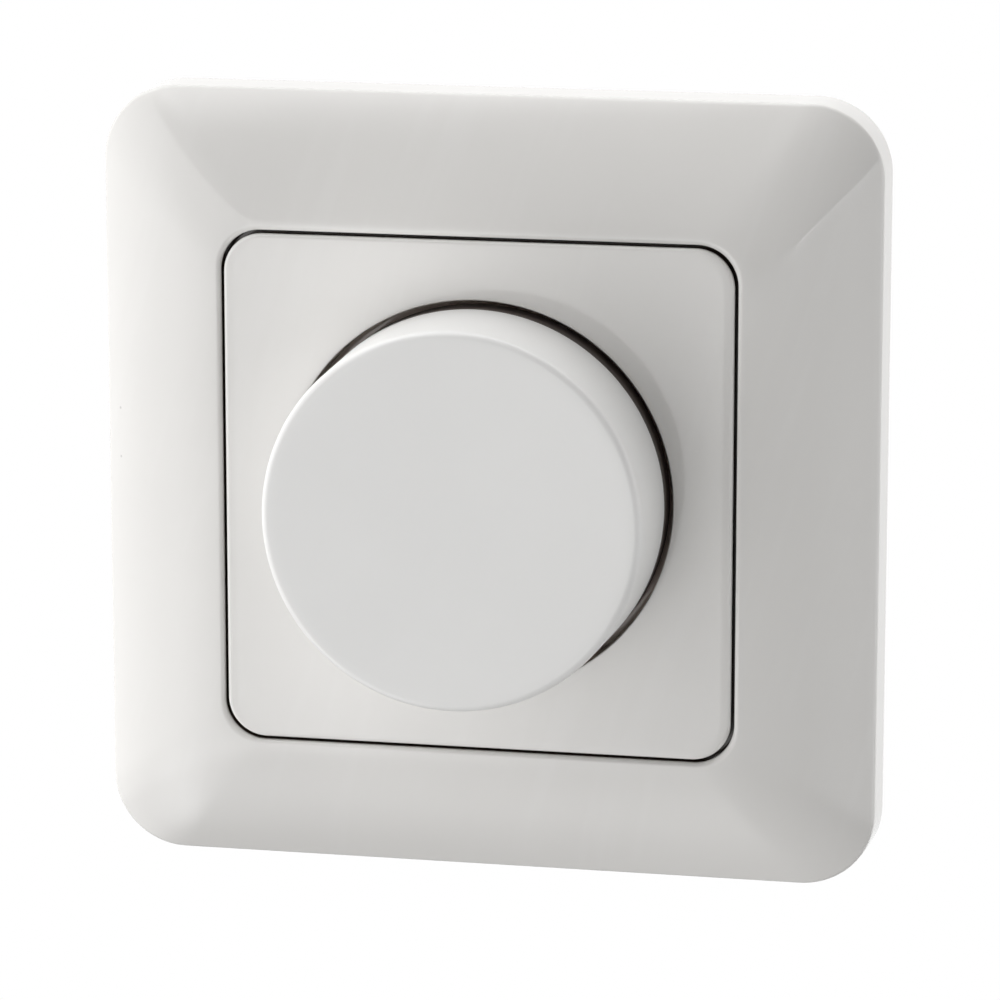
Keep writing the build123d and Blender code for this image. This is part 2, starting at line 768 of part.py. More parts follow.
# Contact bridge: a strip under the plunger's plate with two contact tips
with BuildPart() as contact_bridge:
    with BuildSketch(at_height(bridge_back)):
        SlotOverall(bridge_length, bridge_width)
        Circle(plunger_boss_radius, mode=Mode.SUBTRACT)
    extrude(amount=bridge_thick)
    with BuildSketch(at_height(bridge_back - contact_tip_thick)):
        with Locations((contact_offset, 0), (-contact_offset, 0)):
            Circle(bridge_thick)
    extrude(amount=contact_tip_thick)
contact_bridge.part.label = "contact_bridge"
export_step(contact_bridge.part, "parts/contact_bridge.step")

# Return spring between the bridge and the board
with BuildPart() as switch_spring:
    spring_back = switch_back + spring_wire_radius
    spring_front = bridge_back - spring_wire_radius
    spring_pitch = (spring_front - spring_back) / spring_turns
    with BuildLine() as spring_line:
        Helix(
            spring_pitch,
            spring_front - spring_back,
            spring_radius,
            center=(0, -spring_back, 0),
            direction=(0, -1, 0),
        )
    with BuildSketch(Plane(origin=spring_line.line @ 0, z_dir=spring_line.line % 0)):
        RegularPolygon(spring_wire_radius, spring_facets)
    sweep()
switch_spring.part.label = "switch_spring"
export_step(switch_spring.part, "parts/switch_spring.step")

# Fixed contacts: two posts on the board with tabs under the bridge's tips
with BuildPart() as fixed_contacts:
    contact_top = bridge_back - push_travel - contact_rest_gap
    with BuildSketch(cross_plane(0)):
        for hand in (1, -1):
            with Locations((hand * contact_offset, contact_top)):
                Rectangle(contact_width, contact_thick, align=(Align.CENTER, Align.MAX))
            with Locations((hand * (contact_offset + contact_width / 2), contact_top)):
                post = (contact_thick, contact_top - switch_back)
                Rectangle(*post, align=(Align.CENTER, Align.MAX))
    extrude(amount=contact_width / 2, both=True)
fixed_contacts.part.label = "fixed_contacts"
export_step(fixed_contacts.part, "parts/fixed_contacts.step")

# Circuit board with the holes of every lead
with BuildPart() as circuit_board:
    with BuildSketch(at_height(board_back)) as board_outline:
        with Locations((0, (board_top + board_bottom) / 2)):
            Rectangle(2 * board_half_width, board_top - board_bottom)
        chamfer(board_outline.vertices().group_by(Axis.Z)[-1], board_corner_cut)
        lead_places = [(column, pin_row) for column in pin_columns]
        lead_places += [(column, lead_row) for column in lead_columns]
        for row in resistor_rows:
            lead_places += [(resistor_column - resistor_lead_offset, row)]
            lead_places += [(resistor_column + resistor_lead_offset, row)]
        with Locations(*lead_places):
            Circle(lead_hole_radius, mode=Mode.SUBTRACT)
    extrude(amount=board_thick)
circuit_board.part.label = "circuit_board"
export_step(circuit_board.part, "parts/circuit_board.step")

# Choke: a ring core standing on edge and the turns around it
choke_height = switch_back + choke_outer_radius
choke_plane = Plane(
    origin=(choke_middle[0], -choke_height, choke_middle[1]), x_dir=(1, 0, 0), z_dir=(0, 0, 1)
)
core_outer_radius = choke_outer_radius - choke_wire
core_inner_radius = choke_inner_radius + choke_wire
core_width = choke_width - 2 * choke_wire
with BuildPart() as choke_core:
    with BuildSketch(choke_plane):
        Circle(core_outer_radius)
        Circle(core_inner_radius, mode=Mode.SUBTRACT)
    extrude(amount=core_width / 2, both=True)
choke_core.part.label = "choke_core"
export_step(choke_core.part, "parts/choke_core.step")

with BuildPart() as choke_winding:
    turn_plane = Plane(
        origin=choke_plane.origin, x_dir=choke_plane.x_dir, z_dir=choke_plane.y_dir
    )
    with BuildSketch(turn_plane) as turn_outline:
        with Locations(((choke_outer_radius + choke_inner_radius) / 2, 0)):
            Rectangle(choke_outer_radius - choke_inner_radius, choke_width)
            window = (core_outer_radius - core_inner_radius, core_width)
            Rectangle(*[side + 2 * running_gap for side in window], mode=Mode.SUBTRACT)
    extrude(amount=choke_wire / 2, both=True)
    first_turn = choke_winding.part
    axis = Axis(choke_plane.origin, choke_plane.z_dir)
    for i in range(1, choke_turns):
        add(first_turn.rotate(axis, i * 360 / choke_turns))
choke_winding.part.label = "choke_winding"
export_step(choke_winding.part, "parts/choke_winding.step")

# Filter capacitor: a moulded box on the board
with BuildPart() as filter_capacitor:
    with BuildSketch(at_height(switch_back)):
        with Locations(capacitor_middle):
            Rectangle(capacitor_size[0], capacitor_size[2])
    extrude(amount=capacitor_size[1])
    fillet(filter_capacitor.edges().filter_by(Axis.Y), capacitor_edge)
    fillet(filter_capacitor.faces().sort_by(Axis.Y)[0].edges(), capacitor_edge)
filter_capacitor.part.label = "filter_capacitor"
export_step(filter_capacitor.part, "parts/filter_capacitor.step")

# Heat sink block in the cover's window, between the support frame and the transistor
with BuildPart() as heat_sink:
    with BuildSketch(at_height(cover_back)):
        with Locations(heat_sink_middle):
            Rectangle(*heat_sink_size)
        with Locations(screw_place):
            Circle(transistor_screw_radius + running_gap, mode=Mode.SUBTRACT)
    extrude(amount=cover_thick)
heat_sink.part.label = "heat_sink"
export_step(heat_sink.part, "parts/heat_sink.step")

# Power transistor, flat under the heat sink, its leads bent down through the board
with BuildPart() as power_transistor:
    with BuildSketch(at_height(cover_back - transistor_thick)):
        with Locations((heat_sink_middle[0], transistor_bottom)):
            Rectangle(transistor_width, transistor_body, align=(Align.CENTER, Align.MIN))
    extrude(amount=transistor_thick)
    with BuildSketch(at_height(cover_back - transistor_tab_thick)):
        with Locations((heat_sink_middle[0], transistor_bottom)):
            tab_reach = transistor_body + transistor_tab
            Rectangle(transistor_width, tab_reach, align=(Align.CENTER, Align.MIN))
        with Locations(screw_place):
            Circle(transistor_screw_radius + clear_gap, mode=Mode.SUBTRACT)
    extrude(amount=transistor_tab_thick)
    lead_height = cover_back - transistor_lead_depth
    lead_half = transistor_lead_width / 2
    for column in lead_columns:
        with BuildSketch(Plane.YZ.offset(column)):
            with BuildLine():
                Polyline(
                    (-lead_height, transistor_bottom + lead_half),
                    (-lead_height, lead_row - lead_half),
                    (pin_tail - board_back, lead_row - lead_half),
                    (pin_tail - board_back, lead_row + lead_half),
                    (-lead_height + transistor_lead_width, lead_row + lead_half),
                    (-lead_height + transistor_lead_width, transistor_bottom + lead_half),
                    close=True,
                )
            make_face()
        extrude(amount=lead_half, both=True)
power_transistor.part.label = "power_transistor"
export_step(power_transistor.part, "parts/power_transistor.step")

# Screw from behind through the transistor's tab and the heat sink into the support frame
with BuildPart() as transistor_screw:
    screw_seat = cover_back - transistor_tab_thick
    with BuildSketch(at_height(screw_seat)):
        with Locations(screw_place):
            Circle(transistor_screw_radius)
    extrude(amount=support_thick - screw_seat)
    with BuildSketch(at_height(screw_seat)):
        with Locations(screw_place):
            Circle(transistor_screw_head_radius)
    extrude(amount=-transistor_screw_head_thick)
    with BuildSketch(at_height(screw_seat - transistor_screw_head_thick)):
        with Locations(screw_place):
            for turn in (45, -45):
                Rectangle(transistor_slot_length, transistor_slot_width, rotation=turn)
    extrude(amount=transistor_slot_depth, mode=Mode.SUBTRACT)
transistor_screw.part.label = "transistor_screw"
export_step(transistor_screw.part, "parts/transistor_screw.step")

# Fuse: a glass tube between two caps, held by clips on the board
fuse_line = switch_back + fuse_height
fuse_half = fuse_length / 2
with BuildPart() as fuse_tube:
    with BuildSketch(cross_plane(0)):
        with Locations((fuse_middle, fuse_line)):
            Circle(fuse_radius)
            Circle(fuse_bore_radius, mode=Mode.SUBTRACT)
    extrude(amount=fuse_half - fuse_cap_end, both=True)
fuse_tube.part.label = "fuse_tube"
export_step(fuse_tube.part, "parts/fuse_tube.step")

with BuildPart() as fuse_caps:
    for hand in (1, -1):
        with BuildSketch(cross_plane(hand * fuse_half)):
            with Locations((fuse_middle, fuse_line)):
                Circle(fuse_cap_radius)
        extrude(amount=hand * fuse_cap_length)
        with BuildSketch(cross_plane(hand * (fuse_half - fuse_cap_end))):
            with Locations((fuse_middle, fuse_line)):
                Circle(fuse_radius)
        extrude(amount=hand * fuse_cap_length, mode=Mode.SUBTRACT)
fuse_caps.part.label = "fuse_caps"
export_step(fuse_caps.part, "parts/fuse_caps.step")

with BuildPart() as fuse_clips:
    clip_radius = fuse_cap_radius + running_gap / 2
    clip_outer = clip_radius + fuse_clip_thick
    for hand in (1, -1):
        with BuildSketch(cross_plane(hand * fuse_clip_offset)):
            with Locations((fuse_middle, fuse_line)):
                Circle(clip_outer)
            with Locations((fuse_middle, switch_back)):
                Rectangle(2 * clip_outer, fuse_clip_thick, align=(Align.CENTER, Align.MIN))
                stem = (fuse_clip_stem, fuse_height - fuse_cap_radius)
                Rectangle(*stem, align=(Align.CENTER, Align.MIN))
            with Locations((fuse_middle, fuse_line)):
                Circle(clip_radius, mode=Mode.SUBTRACT)
                mouth_half = clip_outer * sin(radians(fuse_clip_mouth / 2))
                Rectangle(
                    2 * mouth_half, clip_outer, align=(Align.CENTER, Align.MIN), mode=Mode.SUBTRACT
                )
        extrude(amount=fuse_clip_width / 2, both=True)
fuse_clips.part.label = "fuse_clips"
export_step(fuse_clips.part, "parts/fuse_clips.step")

# Resistors: bodies along X with leads bent down through the board
with BuildPart() as resistors:
    resistor_line = switch_back + resistor_radius + clear_gap
    for row in resistor_rows:
        for hand in (1, -1):
            with BuildSketch(Plane.YZ.offset(resistor_column)):
                with Locations((-resistor_line, row)):
                    Circle(resistor_radius)
            extrude(amount=hand * resistor_length / 2)
            with BuildSketch(Plane.YZ.offset(resistor_column)):
                with Locations((-resistor_line, row)):
                    Circle(resistor_lead_radius)
            extrude(amount=hand * (resistor_lead_offset + resistor_lead_radius))
            with BuildSketch(at_height(board_back - pin_tail)):
                with Locations((resistor_column + hand * resistor_lead_offset, row)):
                    Circle(resistor_lead_radius)
            extrude(amount=resistor_line - board_back + pin_tail)
resistors.part.label = "resistors"
export_step(resistors.part, "parts/resistors.step")

# Terminal cages: brass blocks with a wire bore, a screw hole and a tab on the board
with BuildPart() as terminal_cages:
    with BuildSketch(at_height(floor_front)):
        with Locations(*[(column, terminal_bottom) for column in terminal_columns]):
            cage = (terminal_width, terminal_top - terminal_bottom)
            Rectangle(*cage, align=(Align.CENTER, Align.MIN))
    extrude(amount=terminal_depth)
    with BuildSketch(at_height(switch_back)):
        with Locations(*[(column, terminal_top) for column in terminal_columns]):
            Rectangle(terminal_tab_width, 2 * terminal_tab_reach)
    extrude(amount=terminal_tab_thick)
    with BuildSketch(at_height(floor_front)):
        with Locations(*[(column, wire_row) for column in terminal_columns]):
            Circle(wire_bore_radius)
    extrude(amount=wire_bore_depth, mode=Mode.SUBTRACT)
    with BuildSketch(cross_plane(terminal_bottom)):
        with Locations(*[(column, terminal_screw_row) for column in terminal_columns]):
            Circle(terminal_screw_radius + running_gap)
    extrude(amount=-(wire_row - terminal_bottom), mode=Mode.SUBTRACT)
terminal_cages.part.label = "terminal_cages"
export_step(terminal_cages.part, "parts/terminal_cages.step")

# Terminal screws, turned from the insert's lower side
with BuildPart() as terminal_screws:
    screw_places = [(column, terminal_screw_row) for column in terminal_columns]
    with BuildSketch(cross_plane(terminal_bottom)):
        with Locations(*screw_places):
            Circle(terminal_head_radius)
    extrude(amount=terminal_head_thick)
    with BuildSketch(cross_plane(terminal_bottom)):
        with Locations(*screw_places):
            Circle(terminal_screw_radius)
    extrude(amount=-terminal_screw_length)
    with BuildSketch(cross_plane(terminal_bottom - terminal_head_thick)):
        with Locations(*screw_places):
            Rectangle(2 * terminal_head_radius, terminal_slot_width)
    extrude(amount=-terminal_slot_depth, mode=Mode.SUBTRACT)
terminal_screws.part.label = "terminal_screws"
export_step(terminal_screws.part, "parts/terminal_screws.step")
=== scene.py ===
"""Dresses a flush-mounted rotary dimmer: cover frame, centre plate, knob and the insert behind."""

import json
import logging
import math
from dataclasses import dataclass
from typing import Optional, Sequence, Union

import bmesh
import bpy
import numpy as np
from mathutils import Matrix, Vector

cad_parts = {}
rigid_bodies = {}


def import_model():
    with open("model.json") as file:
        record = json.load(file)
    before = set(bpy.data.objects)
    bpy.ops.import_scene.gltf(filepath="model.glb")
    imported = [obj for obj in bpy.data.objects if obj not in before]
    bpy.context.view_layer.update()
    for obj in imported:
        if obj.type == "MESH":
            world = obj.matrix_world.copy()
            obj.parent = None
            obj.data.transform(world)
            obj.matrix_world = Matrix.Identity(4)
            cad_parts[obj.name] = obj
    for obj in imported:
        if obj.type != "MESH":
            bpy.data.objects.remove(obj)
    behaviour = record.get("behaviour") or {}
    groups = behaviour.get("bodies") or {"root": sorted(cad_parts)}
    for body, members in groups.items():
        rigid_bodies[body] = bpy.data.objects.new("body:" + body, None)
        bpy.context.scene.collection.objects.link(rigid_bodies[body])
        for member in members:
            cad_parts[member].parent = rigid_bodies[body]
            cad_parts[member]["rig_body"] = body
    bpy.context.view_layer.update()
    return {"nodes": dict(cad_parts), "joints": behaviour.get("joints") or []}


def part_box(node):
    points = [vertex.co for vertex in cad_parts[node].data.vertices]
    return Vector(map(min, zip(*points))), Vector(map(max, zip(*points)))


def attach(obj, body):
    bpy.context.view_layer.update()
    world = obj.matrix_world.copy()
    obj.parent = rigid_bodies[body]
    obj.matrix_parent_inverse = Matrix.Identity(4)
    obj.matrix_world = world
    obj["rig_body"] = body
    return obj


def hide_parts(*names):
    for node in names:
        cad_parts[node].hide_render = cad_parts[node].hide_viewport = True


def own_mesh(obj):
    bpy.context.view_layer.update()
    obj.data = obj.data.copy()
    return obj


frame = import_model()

LOG = logging.getLogger("dimmer")
MM = 0.001
WHITE = (1.0, 1.0, 1.0, 1.0)
Number = Union[int, float]


# Shader graphs


class Value:
    """A shader socket that adds Math nodes when it is used in an expression."""

    def __init__(self, graph: "Graph", socket: bpy.types.NodeSocket) -> None:
        """Wraps one output socket of a graph."""
        self.graph = graph
        self.socket = socket

    def _math(self, operation: str, *operands: object) -> "Value":
        """The result of a Math node with these values or numbers on its inputs, in order."""
        return self.graph.value("ShaderNodeMath", {"operation": operation}, dict(enumerate(operands)))

    def __add__(self, other: object) -> "Value":
        """This plus the other."""
        return self._math("ADD", self, other)

    __radd__ = __add__

    def __sub__(self, other: object) -> "Value":
        """This less the other."""
        return self._math("SUBTRACT", self, other)

    def __rsub__(self, other: object) -> "Value":
        """The other less this."""
        return self._math("SUBTRACT", other, self)

    def __mul__(self, other: object) -> "Value":
        """This times the other."""
        return self._math("MULTIPLY", self, other)

    __rmul__ = __mul__

    def __truediv__(self, other: object) -> "Value":
        """This divided by the other."""
        return self._math("DIVIDE", self, other)

    def __lt__(self, other: object) -> "Value":
        """1 where this is below the other, else 0."""
        return self._math("LESS_THAN", self, other)

    def power(self, exponent: Number) -> "Value":
        """This raised to a power."""
        return self._math("POWER", self, exponent)

    def sine(self) -> "Value":
        """The sine of this, in radians."""
        return self._math("SINE", self)

    def absolute(self) -> "Value":
        """This without its sign."""
        return self._math("ABSOLUTE", self)

    def above(self, floor: Number, bend: Number = 0.0) -> "Value":
        """This, or the floor where this is below it, with a smooth bend that far round the corner."""
        return self._math("SMOOTH_MAX", self, floor, bend) if bend else self._math("MAXIMUM", self, floor)

    def ramp(self, low: Number, high: Number, bottom: Number = 0.0, top: Number = 1.0) -> "Value":
        """A smooth step of this.

        Args:
            low: where the step starts.
            high: where the step ends.
            bottom: the result below the step.
            top: the result above the step.

        Returns:
            The stepped value.
        """
        settings = {"interpolation_type": "SMOOTHSTEP"}
        inputs = {"Value": self, "From Min": low, "From Max": high, "To Min": bottom, "To Max": top}
        return self.graph.value("ShaderNodeMapRange", settings, inputs)

    def within(self, limit: Number, soft: Number) -> "Value":
        """1 where this is below a limit, 0 above it, with a smooth step that far to both sides."""
        return self.ramp(limit - soft, limit + soft, 1.0, 0.0)


class Graph:
    """One material or world and the nodes that it is built from."""

    def __init__(self, owner: Union[bpy.types.Material, bpy.types.World], output: str) -> None:
        """Empties the nodes of a material or world and adds its output node, of this type."""
        owner.use_nodes = True
        self.owner = owner
        self.tree = owner.node_tree
        self.tree.nodes.clear()
        self.output = self.tree.nodes.new(output)
        self.coordinates = self.node("ShaderNodeTexCoord")
        self.place = self.coordinates.outputs["Object"]

    @classmethod
    def of_material(cls, name: str) -> "Graph":
        """The graph of a new material."""
        return cls(bpy.data.materials.new(name), "ShaderNodeOutputMaterial")

    @classmethod
    def of_world(cls, name: str) -> "Graph":
        """The graph of a new world."""
        return cls(bpy.data.worlds.new(name), "ShaderNodeOutputWorld")

    def node(
        self, kind: str, settings: Optional[dict] = None, inputs: Optional[dict] = None
    ) -> bpy.types.Node:
        """Adds a node, sets it up and then feeds its sockets.

        Args:
            kind: the node's type.
            settings: its properties, which are set before the sockets.
            inputs: values, sockets or Values by the input's name or number.

        Returns:
            The node.
        """
        made = self.tree.nodes.new(kind)
        for name, setting in (settings or {}).items():
            setattr(made, name, setting)
        for name, given in (inputs or {}).items():
            self.feed(made.inputs[name], given)
        return made

    def feed(self, socket: bpy.types.NodeSocket, given: object) -> None:
        """Links one input to a Value or an output socket, or sets it to a number or a tuple."""
        if isinstance(given, Value):
            self.tree.links.new(given.socket, socket)
        elif isinstance(given, bpy.types.NodeSocket):
            self.tree.links.new(given, socket)
        else:
            socket.default_value = given

    def value(
        self, kind: str, settings: Optional[dict] = None, inputs: Optional[dict] = None, out: object = 0
    ) -> Value:
        """Adds a node as node() does and returns one of its outputs as a Value."""
        return Value(self, self.node(kind, settings, inputs).outputs[out])

    def noise(self, scale: Number, detail: Number = 2.0, place: object = None) -> Value:
        """Noise about 0.5 with this many waves a metre, at the object's coordinates or others."""
        where = self.place if place is None else place
        inputs = {"Vector": where, "Scale": scale, "Detail": detail}
        return self.value("ShaderNodeTexNoise", {}, inputs, "Fac")

    def stretched(self, scale: Sequence[Number], turn: Number = 0.0) -> bpy.types.NodeSocket:
        """The object's coordinates, turned about Y by this many degrees and multiplied on each axis."""
        inputs = {"Vector": self.place, "Rotation": (0.0, math.radians(turn), 0.0)}
        turned = self.node("ShaderNodeMapping", {}, inputs)
        inputs = {"Vector": turned.outputs[0], "Scale": tuple(scale)}
        return self.node("ShaderNodeMapping", {}, inputs).outputs[0]

    def specks(self, scale: Number, size: Number, share: Number) -> Value:
        """Small round dots, scattered thinly.

        Args:
            scale: cells a metre.
            size: a dot's radius as a share of its cell.
            share: how many of the cells hold a dot, from 0 to 1.

        Returns:
            1 in a dot, 0 beside it.
        """
        cells = self.node("ShaderNodeTexVoronoi", {}, {"Vector": self.place, "Scale": scale})
        chance = self.value("ShaderNodeSeparateColor", {}, {"Color": cells.outputs["Color"]})
        near = Value(self, cells.outputs["Distance"])
        return near.ramp(size * 0.5, size, 1.0, 0.0) * (chance < share)

    def axes(self, vector: object = None) -> tuple:
        """The three parts of a vector, or of the object's coordinates where none is given."""
        whole = self.place if vector is None else vector
        split = self.node("ShaderNodeSeparateXYZ", {}, {"Vector": whole})
        return tuple(Value(self, split.outputs[axis]) for axis in "XYZ")

    def mix(self, factor: object, first: object, second: object) -> bpy.types.NodeSocket:
        """A colour between two, by a factor from 0 to 1."""
        return self.node(
            "ShaderNodeMix", {"data_type": "RGBA"}, {0: factor, 6: first, 7: second}
        ).outputs[2]

    def bump(self, height: Value, depth: Number, strength: Number = 1.0) -> bpy.types.NodeSocket:
        """A normal from a height.

        Args:
            height: the height, 0 to 1.
            depth: what a height of 1 stands for, in metres.
            strength: the share of it that shows.

        Returns:
            The normal.
        """
        inputs = {"Height": height, "Distance": depth, "Strength": strength}
        return self.node("ShaderNodeBump", {}, inputs).outputs[0]

    def surface(self, **inputs: object) -> bpy.types.Material:
        """Ends the material in a Principled shader with these inputs, their names with underscores."""
        named = {name.replace("_", " "): given for name, given in inputs.items()}
        shader = self.node("ShaderNodeBsdfPrincipled", {}, named)
        self.tree.links.new(shader.outputs[0], self.output.inputs["Surface"])
        return self.owner

    def unless_seen(self, shown: bpy.types.Node, seen: bpy.types.Node) -> None:
        """Ends the graph in one shader for light and reflections, and another for the camera."""
        camera = self.node("ShaderNodeLightPath").outputs["Is Camera Ray"]
        both = self.node("ShaderNodeMixShader", {}, {0: camera, 1: shown.outputs[0], 2: seen.outputs[0]})
        self.tree.links.new(both.outputs[0], self.output.inputs["Surface"])


def rgba(colour: Sequence[Number], factor: Number = 1.0) -> tuple:
    """A colour scaled by a factor, as a socket takes it."""
    return (*[min(1.0, channel * factor) for channel in colour], 1.0)


def around_one(noise: Value, spread: Number) -> Value:
    """A factor that varies about 1 by this spread, as noise varies about 0.5 by 1."""
    return (1.0 - spread / 2) + spread * noise


# Finishes


@dataclass(frozen=True)
class PaintedGapShade:
    """A narrow gap round the knob's axis, in millimetres, painted dark with the shade that no light gets
    down into.

    The colour is the painted shade that the moulding fades to within the fade below the top.
    """

    corner: float
    inner: float
    outer: float
    top: float
    colour: tuple
    fade: float = 0.3
    soft: float = 0.03

    def shade(self, graph: Graph) -> Value:
        """How much painted shade there is: 1 deep in the gap, 0 outside.

        The reach is the distance from the nearest of four corner centres, each this far from both
        axes. With the corner at 0 that is the distance from the knob's axis.

        Args:
            graph: the material's graph.

        Returns:
            The share of the shade.
        """
        x, y, z = graph.axes()
        across, along = ((part.absolute() / MM - self.corner).above(0.0) for part in (x, z))
        reach = (across * across + along * along).power(0.5)
        ring = reach.ramp(self.inner - self.soft, self.inner + self.soft)
        ring = ring * reach.within(self.outer, self.soft)
        return ring * (y / MM + self.top).ramp(0.0, self.fade)


@dataclass(frozen=True)
class Moulding:
    """Moulded plastic: an even colour with faint clouds, a skin texture, a few specks of dust, and where
    set painted reflection streaks and painted gap shade.
    """

    name: str
    colour: tuple
    roughness: float
    skin_waves: float = 1400.0
    skin_depth: float = 2.0e-6
    cloud: float = 0.02
    specks: float = 0.0
    sheen_streaks: float = 0.0
    painted_gap_shades: tuple = ()
    ior: float = 1.5
    cloud_waves: float = 55.0
    cloud_span: tuple = (0.3, 0.7)
    cloud_gloss: float = 0.2
    skin_gloss: float = 0.03
    speck_cells: float = 420.0
    speck_radius: float = 0.09
    speck_cover: float = 0.35
    speck_colour: tuple = (0.25, 0.24, 0.23)
    streak_waves: tuple = (420.0, 60.0, 34.0)
    streak_turn: float = -16.0
    streak_span: tuple = (0.5, 0.72)

    def material(self) -> bpy.types.Material:
        """The material: clouds in the colour and the gloss, painted reflection streaks and painted gap
        shade in the colour, and the skin as bump.
        """
        graph = Graph.of_material(self.name)
        clouds = graph.noise(self.cloud_waves, detail=3.0)
        fine = graph.noise(self.skin_waves)
        pale, deep = rgba(self.colour, 1.0 + self.cloud), rgba(self.colour, 1.0 - self.cloud)
        colour = graph.mix(clouds.ramp(*self.cloud_span), deep, pale)
        if self.specks:
            dots = graph.specks(self.speck_cells, self.speck_radius, self.specks)
            colour = graph.mix(dots * self.speck_cover, colour, rgba(self.speck_colour))
        # Paints faint lighter streaks into the colour as reflections on the gloss.
        if self.sheen_streaks:
            painted_sheen_streaks = graph.noise(1.0, place=graph.stretched(self.streak_waves, self.streak_turn))
            colour = graph.mix(painted_sheen_streaks.ramp(*self.streak_span) * self.sheen_streaks, colour, WHITE)
        # Paints shade into the colour deep in each gap: round the plate and in the knob's well.
        for gap_shade in self.painted_gap_shades:
            colour = graph.mix(gap_shade.shade(graph), colour, rgba(gap_shade.colour))
        gloss = self.roughness * around_one(clouds, self.cloud_gloss) + self.skin_gloss * fine
        return graph.surface(
            Base_Color=colour,
            Roughness=gloss,
            IOR=self.ior,
            Normal=graph.bump(fine, self.skin_depth),
        )


@dataclass(frozen=True)
class RolledMetal:
    """Sheet or turned metal: fine lines along one direction, with blotches from its plating."""

    name: str
    colour: tuple
    roughness: float
    lines: tuple = (400.0, 400.0, 9000.0)
    line_depth: float = 1.5e-6
    line_gloss: float = 0.1
    blotch_waves: float = 220.0
    blotch: float = 0.08
    blotch_span: tuple = (0.35, 0.65)
    blotch_gloss: float = 0.4

    def material(self) -> bpy.types.Material:
        """The material: lines as stretched noise and blotches in the colour and the roughness."""
        graph = Graph.of_material(self.name)
        lines = graph.noise(1.0, place=graph.stretched(self.lines))
        blotches = graph.noise(self.blotch_waves, detail=4.0)
        pale, deep = rgba(self.colour, 1.0 + self.blotch), rgba(self.colour, 1.0 - self.blotch)
        colour = graph.mix(blotches.ramp(*self.blotch_span), deep, pale)
        return graph.surface(
            Base_Color=colour,
            Metallic=1.0,
            Roughness=self.roughness * around_one(blotches, self.blotch_gloss) + self.line_gloss * lines,
            Normal=graph.bump(lines, self.line_depth),
        )


@dataclass(frozen=True)
class ClearGlass:
    """Clear glass with faint smears."""

    name: str
    colour: tuple
    roughness: float = 0.03
    ior: float = 1.5
    body: float = 0.25
    smear_waves: float = 300.0
    smear_span: tuple = (0.5, 0.8)
    smear_gloss: float = 0.08
    smear_body: float = 0.1

    def material(self) -> bpy.types.Material:
        """The material: nearly clear, with smears in the roughness and the clearness."""
        graph = Graph.of_material(self.name)
        smears = graph.noise(self.smear_waves, detail=3.0)
        return graph.surface(
            Base_Color=rgba(self.colour),
            Roughness=self.roughness + self.smear_gloss * smears.ramp(*self.smear_span),
            Alpha=self.body + self.smear_body * smears,
            IOR=self.ior,
        )


@dataclass(frozen=True)
class Laminate:
    """Circuit board: a lacquered laminate with rows of copper tracks under the lacquer."""

    name: str
    colour: tuple
    track_colour: tuple = (0.08, 0.22, 0.09)
    track_pitch: float = 0.0026
    track_span: tuple = (0.1, 0.3)
    sway_pitches: float = 9.0
    sway: float = 2.0
    bend_waves: float = 90.0
    bend: float = 5.0
    fibre_waves: tuple = (6000.0, 600.0, 600.0)
    fibre_gloss: float = 0.15
    fibre_height: float = 0.1
    roughness: float = 0.35
    depth: float = 3.0e-5
    lacquer: float = 0.6

    def material(self) -> bpy.types.Material:
        """The material: track bands where two coarse waves cross, woven fibres as fine noise."""
        graph = Graph.of_material(self.name)
        across, _, along = graph.axes()
        turn = 2.0 * math.pi / self.track_pitch
        bend = graph.noise(self.bend_waves, detail=0.0) * self.bend
        sway = (across * (turn / self.sway_pitches)).sine() * self.sway
        bands = (along * turn + sway + bend).sine().ramp(*self.track_span)
        fibres = graph.noise(1.0, detail=1.0, place=graph.stretched(self.fibre_waves))
        colour = graph.mix(bands, rgba(self.colour), rgba(self.track_colour))
        return graph.surface(
            Base_Color=colour,
            Roughness=self.roughness + self.fibre_gloss * fibres,
            Normal=graph.bump(bands + self.fibre_height * fibres, self.depth, self.lacquer),
        )


# Painted shade: the gap between plate and frame, and the knob's well, fade to these colours below their
# tops.
PLATE_GAP_SHADE = PaintedGapShade(corner=23.3, inner=4.17, outer=4.8, top=10.85, colour=(0.1, 0.07, 0.055))
WELL_GAP_SHADE = PaintedGapShade(corner=0.0, inner=15.0, outer=21.3, top=11.15, colour=(0.9, 0.78, 0.7))
GLOSS_WHITE = Moulding(
    "gloss_white",
    (0.78, 0.767, 0.746),
    0.045,
    skin_waves=700.0,
    skin_depth=6.0e-7,
    cloud=0.008,
    specks=0.012,
    # Painted reflection streaks on the gloss.
    sheen_streaks=0.04,
    painted_gap_shades=(PLATE_GAP_SHADE, WELL_GAP_SHADE),
)
SATIN_WHITE = Moulding(
    "satin_white", (0.84, 0.836, 0.824), 0.32, skin_waves=3800.0, skin_depth=4.0e-6, cloud=0.01, specks=0.02
)
COLLAR_BLACK = Moulding("collar_black", (0.105, 0.088, 0.078), 0.45, skin_waves=2600.0)
SPRING_STEEL = RolledMetal("spring_steel", (0.55, 0.55, 0.55), 0.3)
